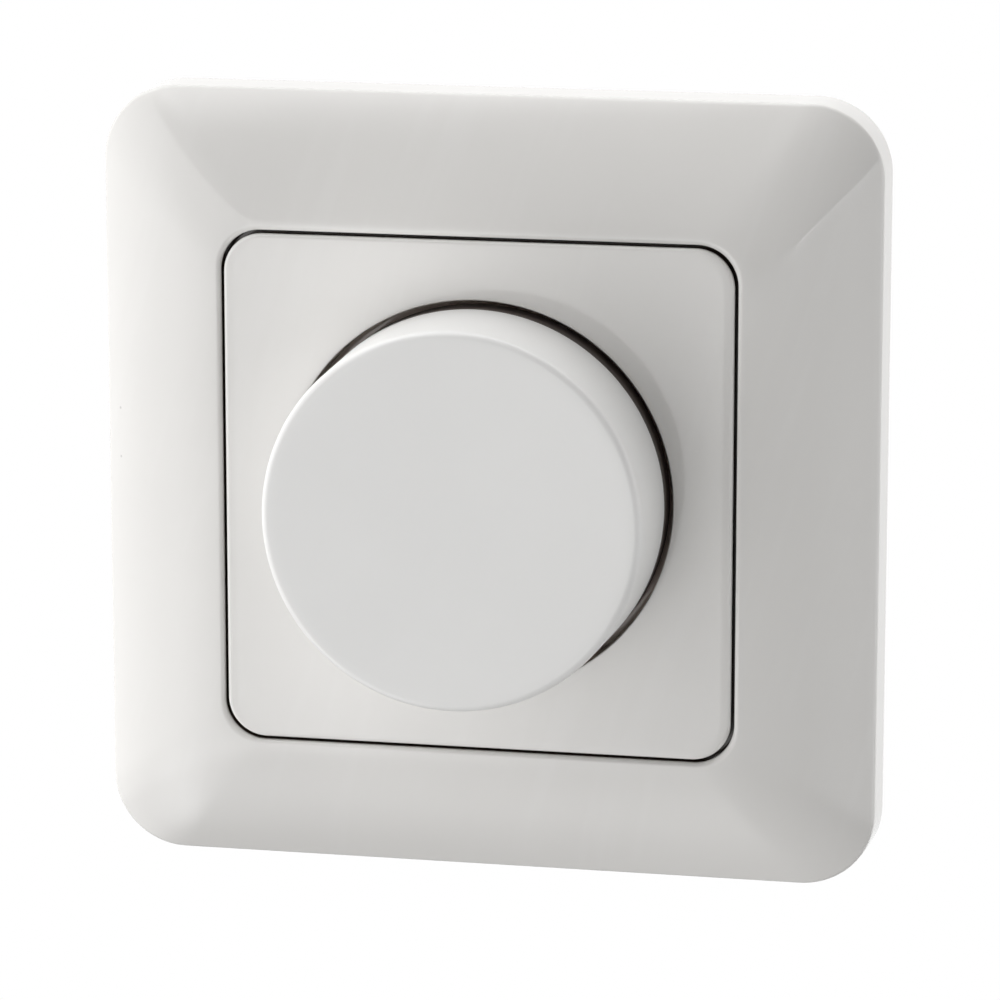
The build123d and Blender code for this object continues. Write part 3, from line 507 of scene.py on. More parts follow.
FINISHES = (
    GLOSS_WHITE,
    SATIN_WHITE,
    COLLAR_BLACK,
    SPRING_STEEL,
    Moulding("shaft_plastic", (0.62, 0.6, 0.54), 0.4),
    Moulding(
        "insert_plastic", (0.045, 0.046, 0.05), 0.45, skin_waves=3200.0, skin_depth=8.0e-6, cloud=0.06
    ),
    Moulding("switch_plastic", (0.03, 0.03, 0.034), 0.4),
    Moulding("plunger_plastic", (0.55, 0.09, 0.05), 0.4),
    Moulding("capacitor_plastic", (0.6, 0.4, 0.05), 0.3),
    Moulding("package_black", (0.02, 0.02, 0.02), 0.55, skin_waves=5000.0),
    Moulding("resistor_lacquer", (0.55, 0.42, 0.24), 0.3),
    Moulding("core_iron", (0.07, 0.07, 0.075), 0.5, skin_waves=4000.0, skin_depth=1.0e-5),
    ClearGlass("fuse_glass", (0.95, 0.97, 0.97)),
    Laminate("board_laminate", (0.36, 0.23, 0.09)),
    RolledMetal("copper_wire", (0.62, 0.24, 0.1), 0.3),
    RolledMetal("spring_bronze", (0.72, 0.45, 0.2), 0.3),
    RolledMetal("bush_brass", (0.75, 0.56, 0.28), 0.3, lines=(300.0, 9000.0, 300.0)),
    RolledMetal("nickel_brass", (0.66, 0.64, 0.6), 0.22),
    RolledMetal("terminal_brass", (0.72, 0.52, 0.25), 0.35),
    RolledMetal("zinc_steel", (0.62, 0.63, 0.65), 0.34, blotch_waves=380.0, blotch=0.12),
    RolledMetal("tinned_metal", (0.68, 0.68, 0.68), 0.3),
    RolledMetal("rivet_aluminium", (0.68, 0.68, 0.69), 0.3),
    RolledMetal("heat_sink_aluminium", (0.66, 0.66, 0.68), 0.4),
)


# Surfaces


def softened(
    points: Sequence[Sequence[float]],
    radii: Sequence[float],
    steps: int = 6,
    hold: float = 0.08,
    most: float = 0.45,
) -> np.ndarray:
    """A profile with rounded corners and held edges.

    Each corner is replaced by the circle's arc that touches both its sides, written as a rational
    curve: the ends count once, the corner itself by the sine of its half angle. A point close to
    each end of a long straight run keeps the shading flat up to the arc. A corner of radius 0 is
    a point of a curve and is kept as it is.

    Args:
        points: the corners; the first two numbers are the profile's plane, the rest follow along.
        radii: each corner's radius.
        steps: spans in each arc.
        hold: how far from an arc the extra points are.
        most: the largest share of a side that an arc may take.

    Returns:
        The profile's points, one row each.
    """
    knots = np.asarray(points, float)
    rows = []
    for i, (knot, radius) in enumerate(zip(knots, radii)):
        if radius == 0.0:
            rows.append(knot[None])
            continue
        back, ahead = knots[i - 1] - knot, knots[(i + 1) % len(knots)] - knot
        back_length, ahead_length = np.hypot(*back[:2]), np.hypot(*ahead[:2])
        back, ahead = back / back_length, ahead / ahead_length
        half_angle = 0.5 * math.acos(np.clip(back[:2] @ ahead[:2], -1.0, 1.0))
        reach = min(radius / math.tan(half_angle), most * back_length, most * ahead_length)
        start, end = knot + back * reach, knot + ahead * reach
        blend = np.linspace(0.0, 1.0, steps + 1)[:, None]
        share = (1 - blend) ** 2, 2 * math.sin(half_angle) * blend * (1 - blend), blend**2
        if back_length > 4 * (reach + hold):
            rows.append((start + back * hold)[None])
        rows.append((share[0] * start + share[1] * knot + share[2] * end) / sum(share))
        if ahead_length > 4 * (reach + hold):
            rows.append((end + ahead * hold)[None])
    return np.vstack(rows)


@dataclass(frozen=True)
class SquareWay:
    """The columns of a surface that runs round a rounded square, the same on every row."""

    side: np.ndarray
    corner_steps: int = 20

    def grid(self, profile: np.ndarray) -> np.ndarray:
        """Carries a profile round the square.

        A column on a corner stands at the corner's centre, which is the half width less the corner
        radius on both axes, plus the radius times (cos a, sin a). A column on a side stands at its
        own distance from the side's middle, on every row. A row whose fourth number is 1 is round:
        its columns stand at the half width times the direction of the same column of row 0.

        Args:
            profile: rows of half width, height, corner radius and, if there is one, roundness.

        Returns:
            Points in metres: (rows, columns, 3).
        """
        arc = np.linspace(0.0, 0.5 * math.pi, self.corner_steps + 1)
        half, height, radius = (profile[:, i][:, None] for i in range(3))
        corner_x, corner_z = half - radius * (1 - np.cos(arc)), half - radius * (1 - np.sin(arc))
        side_x = np.broadcast_to(self.side, (len(profile), len(self.side)))
        x = np.hstack([corner_x, side_x])
        z = np.hstack([corner_z, np.broadcast_to(half, side_x.shape)])
        x, z = np.hstack([x, -z, -x, z]), np.hstack([z, x, -z, -x])
        if profile.shape[1] > 3:
            around = np.arctan2(z[:1], x[:1])
            rounded = profile[:, 3:] > 0.5
            x, z = np.where(rounded, half * np.cos(around), x), np.where(rounded, half * np.sin(around), z)
        return np.stack([x, np.broadcast_to(-height, x.shape), z], axis=-1) * MM


def round_grid(profile: np.ndarray, columns: int = 192) -> np.ndarray:
    """Turns a profile about the knob's axis.

    Args:
        profile: rows of radius and height, in millimetres.
        columns: spans round the axis.

    Returns:
        Points in metres: (rows, columns, 3), at (radius cos a, -height, radius sin a).
    """
    angle = np.linspace(0.0, 2.0 * math.pi, columns, endpoint=False)
    x, z = profile[:, :1] * np.cos(angle), profile[:, :1] * np.sin(angle)
    return np.stack([x, np.broadcast_to(-profile[:, 1:2], x.shape), z], axis=-1) * MM


def placed(name: str, data: bpy.types.ID) -> bpy.types.Object:
    """A new object with this mesh or camera, in the scene."""
    made = bpy.data.objects.new(name, data)
    bpy.context.scene.collection.objects.link(made)
    return made


class Shell:
    """A mesh in the making: closed surfaces that are added one after the other."""

    def __init__(self) -> None:
        """Starts empty."""
        self.points = []
        self.faces = []
        self.used = 0

    def _add(self, points: np.ndarray, faces: list) -> None:
        """Adds points and the faces on them."""
        self.points.append(points)
        self.faces += faces
        self.used += len(points)

    @staticmethod
    def _quads(lower: np.ndarray, upper: np.ndarray) -> list:
        """The faces between closed rows of point numbers and the rows above them."""
        corners = [lower, np.roll(lower, -1, -1), np.roll(upper, -1, -1), upper]
        return np.stack(corners, axis=-1).reshape(-1, 4).tolist()

    def tube(self, grid: np.ndarray) -> None:
        """Adds a surface of points (rows, columns, 3), in metres, that closes on itself both ways."""
        index = np.arange(grid.shape[0] * grid.shape[1]).reshape(grid.shape[:2]) + self.used
        self._add(grid.reshape(-1, 3), self._quads(index, np.roll(index, -1, axis=0)))

    def capped(self, grid: np.ndarray, first: Sequence[float], last: Sequence[float]) -> None:
        """Adds a surface whose first and last rows close in a point each.

        Args:
            grid: points (rows, columns, 3) in metres.
            first: the point that closes the first row.
            last: the point that closes the last row.
        """
        rows, columns = grid.shape[:2]
        index = np.arange(rows * columns).reshape(rows, columns) + self.used
        start, end = (np.full(columns, self.used + rows * columns + i) for i in range(2))
        fans = [
            np.stack([start, np.roll(index[0], -1), index[0]], axis=-1),
            np.stack([index[-1], np.roll(index[-1], -1), end], axis=-1),
        ]
        faces = self._quads(index[:-1], index[1:]) + np.vstack(fans).tolist()
        self._add(np.vstack([grid.reshape(-1, 3), [first, last]]), faces)

    def rib(self, turn: float, outline: np.ndarray, thick: float, across: float = 0.0) -> None:
        """Adds a rib that stands in the direction of a turn about the knob's axis.

        Each of its two sides is the outline, at reach times (cos, sin) plus the side's distance from
        the axis times (-sin, cos), and at minus the height. Sizes are in millimetres.

        Args:
            turn: the direction, in radians from +X towards +Z.
            outline: rows of reach and height.
            thick: the rib's thickness.
            across: how far its middle is to one side of the axis.
        """
        reach, height = outline.T
        sides = []
        for off in (across - thick / 2, across + thick / 2):
            x = reach * math.cos(turn) - off * math.sin(turn)
            z = reach * math.sin(turn) + off * math.cos(turn)
            sides.append(np.stack([x, -height, z], axis=-1) * MM)
        near = np.arange(len(outline)) + self.used
        far = near + len(outline)
        self._add(np.vstack(sides), self._quads(near, far) + [near[::-1].tolist(), far.tolist()])

    def piece(self, name: str, finish: bpy.types.Material, sharp: float = 40.0) -> bpy.types.Object:
        """Makes the object: smooth faces that point outwards, in this finish.

        Args:
            name: the object's name.
            finish: its material.
            sharp: edges above this angle, in degrees, stay sharp.

        Returns:
            The object, at the origin.
        """
        mesh = bpy.data.meshes.new(name)
        mesh.from_pydata(np.vstack(self.points), [], self.faces)
        work = bmesh.new()
        work.from_mesh(mesh)
        bmesh.ops.recalc_face_normals(work, faces=work.faces)
        work.to_mesh(mesh)
        work.free()
        mesh.set_sharp_from_angle(angle=math.radians(sharp))
        mesh.materials.append(finish)
        return placed(name, mesh)


def slot_of(material: bpy.types.Material) -> str:
    """The material slot that a material stands for: its name, without a number at the end."""
    return material.name.split(".")[0]


def settle(piece: bpy.types.Object, body: str, *nodes: str) -> None:
    """Puts a finished piece on its body, in place of the solids that it stands for."""
    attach(piece, body)
    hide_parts(*nodes)
    LOG.info("%s: %d faces on %s", piece.name, len(piece.data.polygons), body)


# The pieces that show


@dataclass
class CoverFrame:
    """The square frame round the plate: side wall, crowned face, collar with a ledge, ribs behind."""

    node: str = "cover_frame"
    crease: float = 84.4
    crease_corner: float = 8.0
    crease_radius: float = 0.8
    edge_radius: float = 0.5
    wall: float = 2.0
    opening: float = 55.7
    opening_corner: float = 4.35
    outer_slope: float = 38.0
    inner_slope: float = 8.0
    ledge: float = 52.0
    ledge_depth: float = 3.0
    ledge_thick: float = 1.5
    collar: float = 2.0
    foot: float = 1.2
    notch: float = 9.0
    notch_top: float = 4.6
    rib_thick: float = 1.2
    rib_spread: float = 22.0
    rib_foot: float = 1.4
    arc_steps: int = 44
    arc_hold: float = 3.0
    skin_steps: int = 16
    foot_round: float = 0.3
    ledge_round: float = 0.15
    ledge_root: float = 0.1
    columns: tuple = (21.0, 16.0, 10.0)
    middle_column: float = 2.0
    hair: float = 0.02

    def __post_init__(self) -> None:
        """Takes the outer sizes from the solid and works out the face's arc."""
        low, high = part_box(self.node)
        self.back = (high.x - low.x) / MM
        self.front = -low.y / MM
        outer, inner = math.radians(self.outer_slope), math.radians(self.inner_slope)
        self.radius = (self.crease - self.opening) / 2 / (math.sin(outer) - math.sin(inner))
        self.centre_half = self.opening / 2 - self.radius * math.sin(inner)
        self.centre_height = self.front - self.radius * math.cos(inner)

    def face(self, slopes: np.ndarray, depth: float) -> np.ndarray:
        """Points on or under the crowned face.

        At slope s the half width is the centre's plus the radius times sin s, and the height the
        centre's plus the radius times cos s. The corner radius grows evenly with the half width.

        Args:
            slopes: the slopes in degrees.
            depth: how deep under the skin.

        Returns:
            Rows of half width, height and corner radius.
        """
        turn = np.radians(slopes)
        half = self.centre_half + (self.radius - depth) * np.sin(turn)
        height = self.centre_height + (self.radius - depth) * np.cos(turn)
        share = (half - self.opening / 2) / ((self.crease - self.opening) / 2)
        corner = self.opening_corner + (self.crease_corner - self.opening_corner) * share
        return np.stack([half, height, corner], axis=-1)

    def under_slopes(self, count: int) -> np.ndarray:
        """Slopes of the skin's inner side, from the collar out to the side wall."""
        reach = np.array([self.opening / 2 + self.collar, self.crease / 2 - self.wall])
        ends = np.degrees(np.arcsin((reach - self.centre_half) / (self.radius - self.wall)))
        return np.linspace(*ends, count)

    def profile(self) -> np.ndarray:
        """The closed section: rim on the wall, side, crowned face, opening, ledge, collar, inner skin."""
        ends = self.outer_slope - self.arc_hold, self.inner_slope + self.arc_hold
        between = np.linspace(*ends, self.arc_steps)
        outer = self.face(np.concatenate([[self.outer_slope], between, [self.inner_slope]]), 0.0)
        inner = self.face(self.under_slopes(self.skin_steps), self.wall)
        half, ledge = self.opening / 2, self.ledge / 2
        collar = half + self.collar
        ledge_top = self.front - self.ledge_depth
        ledge_back = ledge_top - self.ledge_thick
        ledge_corner = self.opening_corner - (half - ledge)
        mouth = [
            (half, ledge_top, self.opening_corner),
            (ledge, ledge_top, ledge_corner),
            (ledge, ledge_back, ledge_corner),
            (half, ledge_back, self.opening_corner),
            (half, self.foot, self.opening_corner),
            (collar, self.foot, inner[0][2]),
        ]
        start, end = (self.back / 2, 0.0, self.crease_corner), (inner[-1][0], 0.0, inner[-1][2])
        face_radii = [self.crease_radius, *[0.0] * (len(outer) - 2), self.edge_radius]
        rounds = [self.ledge_root, self.ledge_round, self.ledge_round] * 2
        radii = [self.foot_round, *face_radii, *rounds, *[0.0] * len(inner), self.foot_round]
        return softened([start, *outer, *mouth, *inner, end], radii)

    def notched(self, grid: np.ndarray) -> np.ndarray:
        """Lifts the collar's foot to the notch's top on the columns within each side's middle."""
        x, depth, z = (grid[..., i] / MM for i in range(3))
        outside = self.opening / 2 + self.collar + self.hair / 2
        collar = (np.maximum(abs(x), abs(z)) < outside) & (depth > -self.notch_top)
        middle = np.minimum(abs(x), abs(z)) < self.notch / 2
        grid[..., 1] = np.where(collar & middle, -self.notch_top * MM, grid[..., 1])
        return grid

    def build(self, finish: bpy.types.Material) -> None:
        """Makes the frame and its ribs in this finish, and puts them in place of the solid."""
        shell = Shell()
        edge = self.notch / 2
        offsets = np.array([*self.columns, edge + self.hair, edge - self.hair, self.middle_column])
        way = SquareWay(np.concatenate([offsets, -offsets[::-1]]))
        shell.tube(self.notched(way.grid(self.profile())))
        under = self.face(self.under_slopes(self.skin_steps // 2), self.wall / 2)[:, :2]
        feet = np.array([[under[-1][0], self.rib_foot], [under[0][0], self.rib_foot]])
        outline = np.vstack([under, feet])
        for turn in np.arange(4) * 0.5 * math.pi:
            for spread in (-self.rib_spread, self.rib_spread):
                shell.rib(turn, outline, self.rib_thick, spread)
        settle(shell.piece("cover_frame_moulding", finish), "insert", self.node)


@dataclass
class CentrePlate:
    """The square plate in the frame, with the round well that the knob stands in."""

    node: str = "centre_plate"
    corner: float = 4.2
    edge_radius: float = 0.45
    thick: float = 1.8
    skirt: float = 1.6
    skirt_foot: float = 8.3
    well_radius: float = 21.2
    mouth_radius: float = 0.14
    well_floor: float = 6.3
    well_wall: float = 1.6
    bush_hole: float = 5.2
    rib_thick: float = 1.2
    rib_length: float = 71.0
    rib_foot: float = 8.35
    rib_top: float = 10.4
    hold: float = 1.2
    mouth_hold: float = 0.7
    under_hold: float = 0.6
    foot_round: float = 0.15
    skirt_root: float = 0.2
    well_round: float = 0.4
    side_steps: int = 42
    side_turn: float = 37.5
    side_reach: float = 21.0

    def profile(self) -> np.ndarray:
        """The closed section, from the skirt's foot over the edge, into the well and back behind."""
        low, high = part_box(self.node)
        half, top = (high.x - low.x) / 2 / MM, -low.y / MM
        inner, inner_corner, under = half - self.skirt, self.corner - self.skirt, top - self.thick
        outer_well, floor_under = self.well_radius + self.well_wall, self.well_floor - self.well_wall
        knots = [
            (half, self.skirt_foot, self.corner, 0),
            (half, top, self.corner, 0),
            (half - self.hold, top, self.corner - self.hold, 0),
            (self.well_radius + self.mouth_hold, top, 0, 1),
            (self.well_radius, top, 0, 1),
            (self.well_radius, self.well_floor, 0, 1),
            (self.bush_hole, self.well_floor, 0, 1),
            (self.bush_hole, floor_under, 0, 1),
            (outer_well, floor_under, 0, 1),
            (outer_well, under, 0, 1),
            (outer_well + self.under_hold, under, 0, 1),
            (inner - self.under_hold, under, inner_corner - self.under_hold, 0),
            (inner, under, inner_corner, 0),
            (inner, self.skirt_foot, inner_corner, 0),
        ]
        over = [self.foot_round, self.edge_radius, 0, 0, self.mouth_radius, self.well_round]
        hole = [self.foot_round, self.foot_round, self.well_round, self.well_round]
        return softened(knots, [*over, *hole, 0, 0, self.skirt_root, self.foot_round])

    def build(self, finish: bpy.types.Material) -> None:
        """Makes the plate and its ribs in this finish, and puts them in place of the solid."""
        shell = Shell()
        fan = np.tan(np.radians(np.linspace(self.side_turn, -self.side_turn, self.side_steps)))
        columns = fan / math.tan(math.radians(self.side_turn)) * self.side_reach
        shell.tube(SquareWay(columns).grid(self.profile()))
        near, far = self.well_radius + self.well_wall / 2, self.rib_length / 2
        foot, top = self.rib_foot, self.rib_top
        outline = np.array([(near, foot), (far, foot), (far, top), (near, top)])
        for turn in (np.arange(4) + 0.5) * 0.5 * math.pi:
            shell.rib(turn, outline, self.rib_thick)
        settle(shell.piece("centre_plate_moulding", finish), "insert", self.node)


@dataclass
class Knob:
    """The knob: a satin cap on a dark collar, with a boss that takes the shaft's D-shaped end."""

    cap_node: str = "knob_cap"
    collar_node: str = "knob_collar"
    skirt_radius: float = 20.45
    top_radius: float = 20.2
    rim_height: float = 12.3
    top_height: float = 24.5
    crown: float = 0.08
    edge_radius: float = 1.2
    wall: float = 1.8
    boss_radius: float = 5.0
    boss_foot: float = 13.0
    bore_radius: float = 3.05
    bore_flat: float = 1.95
    bore_top: float = 21.55
    rib_count: int = 6
    rib_thick: float = 1.4
    rib_depth: float = 3.2
    rib_root: float = 0.3
    rib_slant: float = 0.6
    crown_start: float = 2.0
    crown_hold: float = 0.5
    crown_steps: int = 12
    cap_rounds: tuple = (0.1, 0.15, 0.8, 0.4, 0.2, 0.15, 0.1, 0.0)
    bore_middle: float = 1.0
    bore_margins: tuple = (0.2, 0.05)
    collar_foot: float = 8.6
    collar_inner: float = 17.2
    lip_radius: float = 18.4
    lip_top: float = 14.8
    collar_rounds: tuple = (0.4, 0.06, 0.1, 0.2, 0.2, 0.2)

    def cap_grid(self) -> np.ndarray:
        """The cap's surface: its section turned about the axis, with the bore cut off at its flat.

        The top is crowned by the crown times the square of the radius over the top radius. In the
        bore, x is held at the flat, which makes the D.

        Returns:
            Points in metres, from the top's middle to the bore's end.
        """
        crown_end = self.top_radius - self.edge_radius - self.crown_hold
        crowned = np.linspace(self.crown_start, crown_end, self.crown_steps)
        top = [(r, self.top_height - self.crown * (r / self.top_radius) ** 2) for r in crowned]
        ceiling = self.top_height - self.wall
        knots = [
            *top,
            (self.top_radius, self.top_height - self.crown),
            (self.skirt_radius, self.rim_height),
            (self.skirt_radius - self.wall, self.rim_height),
            (self.top_radius - self.wall, ceiling),
            (self.boss_radius, ceiling),
            (self.boss_radius, self.boss_foot),
            (self.bore_radius, self.boss_foot),
            (self.bore_radius, self.bore_top),
            (self.bore_middle, self.bore_top),
        ]
        profile = softened(knots, [*[0.0] * len(top), self.edge_radius, *self.cap_rounds])
        grid = round_grid(profile)
        limits = np.array([self.bore_radius, self.bore_top]) + self.bore_margins
        bore = (profile < limits).all(axis=1)
        grid[bore, :, 0] = np.minimum(grid[bore, :, 0], self.bore_flat * MM)
        return grid

    def build_cap(self, finish: bpy.types.Material) -> None:
        """Makes the cap with the ribs under its top, in this finish."""
        shell = Shell()
        ends = [(0.0, -height * MM, 0.0) for height in (self.top_height, self.bore_top)]
        shell.capped(self.cap_grid(), *ends)
        near, far = self.boss_radius - self.rib_root, self.top_radius - self.wall / 2
        high = self.top_height - self.wall / 2
        low = self.top_height - self.wall - self.rib_depth
        outline = np.array([(near, low), (far, low), (far - self.rib_slant, high), (near, high)])
        for turn in (np.arange(self.rib_count) + 0.5) * 2.0 * math.pi / self.rib_count:
            shell.rib(turn, outline, self.rib_thick)
        settle(shell.piece("knob_cap_moulding", finish), "knob", self.cap_node)

    def build_collar(self, finish: bpy.types.Material) -> None:
        """Makes the dark collar under the cap, with the lip that holds it in the cap."""
        knots = [
            (self.skirt_radius, self.collar_foot),
            (self.skirt_radius, self.rim_height),
            (self.lip_radius, self.rim_height),
            (self.lip_radius, self.lip_top),
            (self.collar_inner, self.lip_top),
            (self.collar_inner, self.collar_foot),
        ]
        shell = Shell()
        shell.tube(round_grid(softened(knots, self.collar_rounds)))
        settle(shell.piece("knob_collar_moulding", finish), "knob", self.collar_node)


@dataclass
class Insert:
    """The works behind the plate: sheet frame, housing, cover, switch, rotary control and board."""

    edge_widths: tuple = (
        ("insert_body", 0.35),
        ("insert_cover", 0.25),
        ("support_frame", 0.15),
        ("cover_rivets", 0.12),
        ("terminal_cages", 0.12),
        ("plate_nut", 0.2),
        ("pot_housing", 0.25),
        ("switch_housing", 0.25),
    )
    sharp: float = 32.0
    flat: float = 0.6
    merge: float = 1.0e-6
    segments: int = 2
    flat_weight: int = 100

    def edged(self, node: str, width: float) -> None:
        """Makes a copy of a solid with its points merged and its edges rounded, in its place.

        Args:
            node: the solid.
            width: the rounding's width in millimetres.
        """
        solid = frame["nodes"][node]
        mesh = solid.data.copy()
        work = bmesh.new()
        work.from_mesh(mesh)
        bmesh.ops.remove_doubles(work, verts=work.verts, dist=self.merge)
        bmesh.ops.dissolve_limit(
            work, angle_limit=math.radians(self.flat), verts=work.verts, edges=work.edges
        )
        work.to_mesh(mesh)
        work.free()
        mesh.shade_smooth()
        made = placed(f"{node}_edged", mesh)
        bevel = made.modifiers.new("rounded edges", "BEVEL")
        bevel.limit_method = "ANGLE"
        bevel.angle_limit = math.radians(self.sharp)
        bevel.width = width * MM
        bevel.segments = self.segments
        flat = made.modifiers.new("flat faces", "WEIGHTED_NORMAL")
        flat.weight = self.flat_weight
        settle(made, solid["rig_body"], node)

    def build(self) -> None:
        """Rounds the edges of the pieces that show from behind."""
        for node, width in self.edge_widths:
            self.edged(node, width)


@dataclass
class ReturnSpring:
    """The coil that stands behind the contact bridge; the real one shortens as the knob is pushed, this one
    keeps its length.
    """

    node: str = "switch_spring"
    joint: str = "knob_push"
    radius: float = 2.2
    wire: float = 0.25
    turns: int = 4
    front: float = 12.25
    back: float = 17.05
    steps: int = 48
    sides: int = 12

    def line(self) -> np.ndarray:
        """The wire's middle line, in millimetres.

        Returns:
            Points (rows, 3) at (radius cos a, depth, radius sin a). The depth runs evenly from back
            to front while the angle a makes the coil's turns.
        """
        angle = np.linspace(0.0, 2.0 * math.pi * self.turns, self.turns * self.steps + 1)
        depth = np.linspace(self.back, self.front, len(angle))
        return np.stack([self.radius * np.cos(angle), depth, self.radius * np.sin(angle)], axis=-1)

    def build(self, finish: bpy.types.Material) -> None:
        """Makes the coil in this finish and works out the share of its length that the push would keep.

        A ring of the wire stands round each point of the line, at the wire's radius times
        (cos b out from the axis plus sin b along the normal of both the axis's ray and the line).
        """
        line = self.line()
        outward = line * (1.0, 0.0, 1.0) / self.radius
        along = np.gradient(line, axis=0)
        upward = np.cross(along / np.linalg.norm(along, axis=1, keepdims=True), outward)
        around = np.linspace(0.0, 2.0 * math.pi, self.sides, endpoint=False)[None, :, None]
        ring = np.cos(around) * outward[:, None] + np.sin(around) * upward[:, None]
        shell = Shell()
        shell.capped((line[:, None] + self.wire * ring) * MM, line[0] * MM, line[-1] * MM)
        made = shell.piece("return_spring_coil", finish)
        settle(made, "insert", self.node)
        travel = next(joint["range_m"][1] for joint in frame["joints"] if joint["name"] == self.joint)
        end = (self.back + self.wire) * MM
        length = end - (self.front - self.wire) * MM
        keep = 1.0 - travel / length
        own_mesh(made)


# The studio


@dataclass(frozen=True)
class LightEdge:
    """A straight edge in direction, in degrees, above which a light is cut off.

    It rises by the tilt for each degree of azimuth and bends level, within the bend, where it would
    sink below the floor.
    """

    azimuth: float
    elevation: float
    tilt: float
    soft: float
    floor: float = -90.0
    bend: float = 10.0

    def pass_below(self, azimuth: Value, elevation: Value) -> Value:
        """The share that is let through: 1 below the edge, 0 above it."""
        line = self.elevation + (azimuth - self.azimuth) * self.tilt
        line = line.above(self.floor, self.bend)
        return (elevation - line).within(0.0, self.soft)


@dataclass(frozen=True)
class SoftLight:
    """A soft-edged patch of light on the studio's walls, by direction in degrees.

    Its middle rises by the tilt for each degree of azimuth.
    """

    name: str
    azimuth: float
    elevation: float
    half_width: float
    half_height: float
    soft: float
    radiance: float
    tilt: float = 0.0
    edge: Optional[LightEdge] = None

    def window(self, azimuth: Value, elevation: Value) -> Value:
        """The share of its light in each direction: 1 inside the patch, 0 outside."""
        turned = azimuth - self.azimuth
        across = 180.0 - (turned.absolute() - 180.0).absolute()
        along = (elevation - self.elevation - turned * self.tilt).absolute()
        lit = across.within(self.half_width, self.soft) * along.within(self.half_height, self.soft)
        return lit if self.edge is None else lit * self.edge.pass_below(azimuth, elevation)


CURTAIN = LightEdge(azimuth=-17.0, elevation=7.6, tilt=-0.94, soft=1.0)
TABLE_END = LightEdge(azimuth=40.0, elevation=-2.6, tilt=0.62, soft=0.5, floor=-9.5)


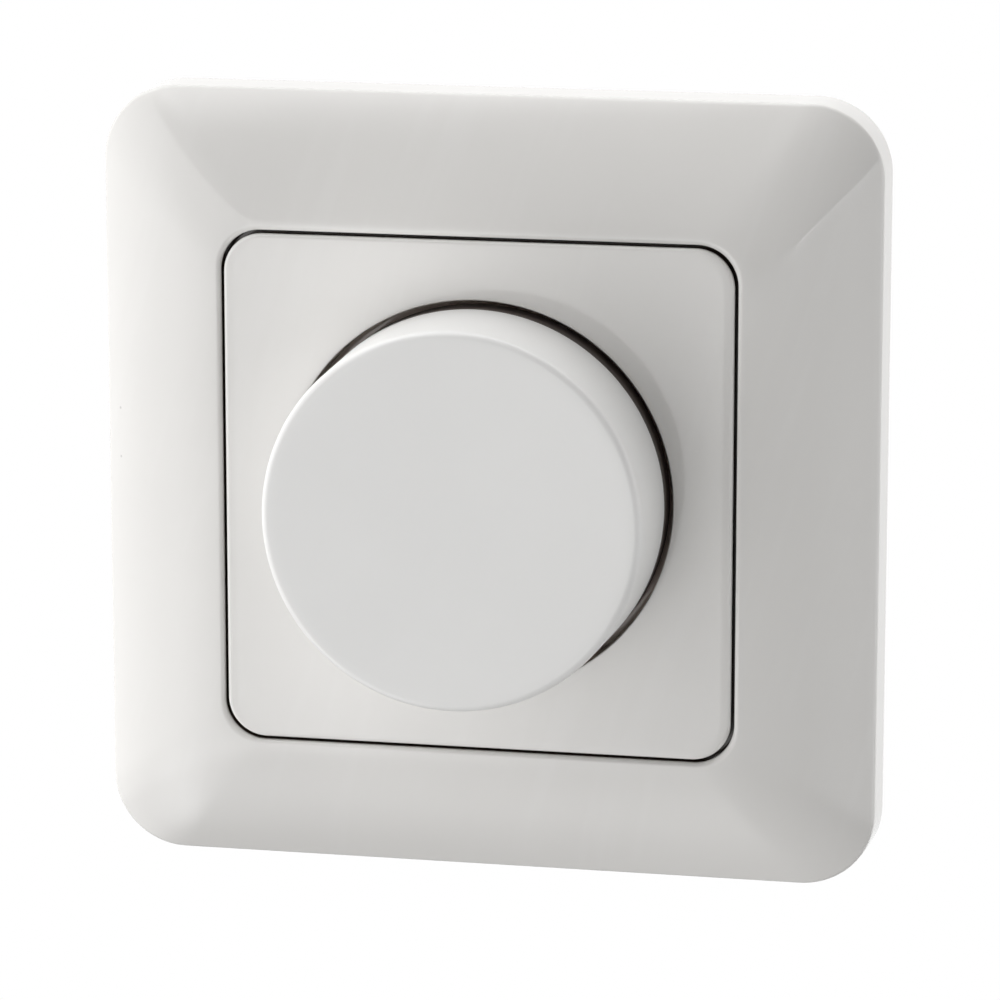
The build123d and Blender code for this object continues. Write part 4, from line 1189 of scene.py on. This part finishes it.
@dataclass
class Studio:
    """The camera, the pale floor and the soft light round the object."""

    target: tuple = (1.43, -6.0, -1.33)
    distance: float = 550.0
    azimuth: float = 12.15
    elevation: float = 12.28
    lens: float = 185.0
    sensor: float = 36.0
    floor_drop: float = 0.4
    floor_half: float = 4.0
    floor_colour: tuple = (0.8, 0.8, 0.8)
    backdrop: float = 1.0
    dark: float = 0.02
    lights: tuple = (
        SoftLight("left window", -80.0, 15.0, 36.0, 52.0, 9.0, 0.46),
        SoftLight("window's front", -62.0, 12.0, 50.0, 44.0, 4.0, 1.03, edge=CURTAIN),
        SoftLight("low left card", -72.0, -48.0, 32.0, 14.0, 12.0, 1.5),
        SoftLight("low card before the frame", -36.0, -44.0, 22.0, 18.0, 15.0, 1.75),
        SoftLight("overhead left card", -78.0, 70.0, 52.0, 25.0, 10.0, 3.1),
        SoftLight("table, front left", -28.0, -22.0, 30.0, 14.0, 6.0, 0.45),
        SoftLight("table strip before the knob", -12.0, -10.0, 4.0, 14.0, 2.0, 1.15),
        SoftLight("table, middle", 22.0, -4.0, 20.0, 17.0, 9.0, 0.93, edge=TABLE_END),
        SoftLight("table, right", 68.0, -6.0, 25.0, 17.0, 10.0, 1.65, edge=TABLE_END),
        SoftLight("edge strip", 44.0, 0.2, 14.0, 0.6, 0.3, 3.2, 0.62),
        SoftLight("wall on the right", 99.0, -4.0, 26.0, 20.0, 8.0, 1.4),
        SoftLight("sweep behind", 180.0, -2.0, 60.0, 40.0, 10.0, 1.02),
        SoftLight("overhead behind", 165.0, 60.0, 55.0, 20.0, 10.0, 2.1),
    )

    def camera(self) -> None:
        """Stands the camera at the photograph's angle, looking at the target, upright."""
        a, e = math.radians(self.azimuth), math.radians(self.elevation)
        back = Vector((math.sin(a) * math.cos(e), -math.cos(a) * math.cos(e), math.sin(e)))
        data = bpy.data.cameras.new("camera")
        data.lens = self.lens
        data.sensor_width = self.sensor
        made = placed("camera", data)
        made.location = (Vector(self.target) + back * self.distance) * MM
        made.rotation_mode = "QUATERNION"
        made.rotation_quaternion = (-back).to_track_quat("-Z", "Y")
        bpy.context.scene.camera = made

    def floor(self) -> None:
        """Lays a plain pale floor under the object, white where the camera looks at it."""
        graph = Graph.of_material("pale_floor")
        pale = graph.node("ShaderNodeBsdfDiffuse", {}, {"Color": rgba(self.floor_colour)})
        white = graph.node("ShaderNodeEmission", {}, {"Color": WHITE, "Strength": self.backdrop})
        graph.unless_seen(pale, white)
        reach, level = self.floor_half, -self.floor_drop
        mesh = bpy.data.meshes.new("floor")
        corners = [(-reach, -reach), (reach, -reach), (reach, reach), (-reach, reach)]
        mesh.from_pydata([(*corner, level) for corner in corners], [], [(0, 1, 2, 3)])
        mesh.materials.append(graph.owner)
        made = placed("floor", mesh)
        made.visible_diffuse = made.visible_glossy = made.visible_transmission = made.visible_shadow = False

    def light(self) -> None:
        """Lights the studio: an even glow plus the patches, each a smooth window in direction."""
        graph = Graph.of_world("studio")
        x, y, z = graph.axes(graph.coordinates.outputs["Generated"])
        to_degrees = 180.0 / math.pi
        azimuth = graph.value("ShaderNodeMath", {"operation": "ARCTAN2"}, {0: x, 1: y * -1.0}) * to_degrees
        elevation = graph.value("ShaderNodeMath", {"operation": "ARCSINE"}, {0: z}) * to_degrees
        glow = self.dark
        for patch in self.lights:
            glow = glow + patch.window(azimuth, elevation) * patch.radiance
        lit, white = (
            graph.node("ShaderNodeBackground", {}, {"Color": WHITE, "Strength": strength})
            for strength in (glow, self.backdrop)
        )
        graph.unless_seen(lit, white)
        bpy.context.scene.world = graph.owner
        bpy.context.scene.view_settings.view_transform = "Standard"

    def build(self) -> None:
        """Sets up the camera, the floor and the light."""
        self.camera()
        self.floor()
        self.light()


def dress(finishes: dict) -> None:
    """Gives every solid the finish of its material slot, from the materials by slot name."""
    for solid in frame["nodes"].values():
        for place in solid.material_slots:
            place.material = finishes[slot_of(place.material)]


def main() -> None:
    logging.basicConfig(level=logging.INFO, format="%(name)s %(message)s")
    finishes = {finish.name: finish.material() for finish in FINISHES}
    dress(finishes)
    CoverFrame().build(finishes[GLOSS_WHITE.name])
    CentrePlate().build(finishes[GLOSS_WHITE.name])
    knob = Knob()
    knob.build_cap(finishes[SATIN_WHITE.name])
    knob.build_collar(finishes[COLLAR_BLACK.name])
    Insert().build()
    ReturnSpring().build(finishes[SPRING_STEEL.name])
    Studio().build()


if __name__ == "__main__":
    main()
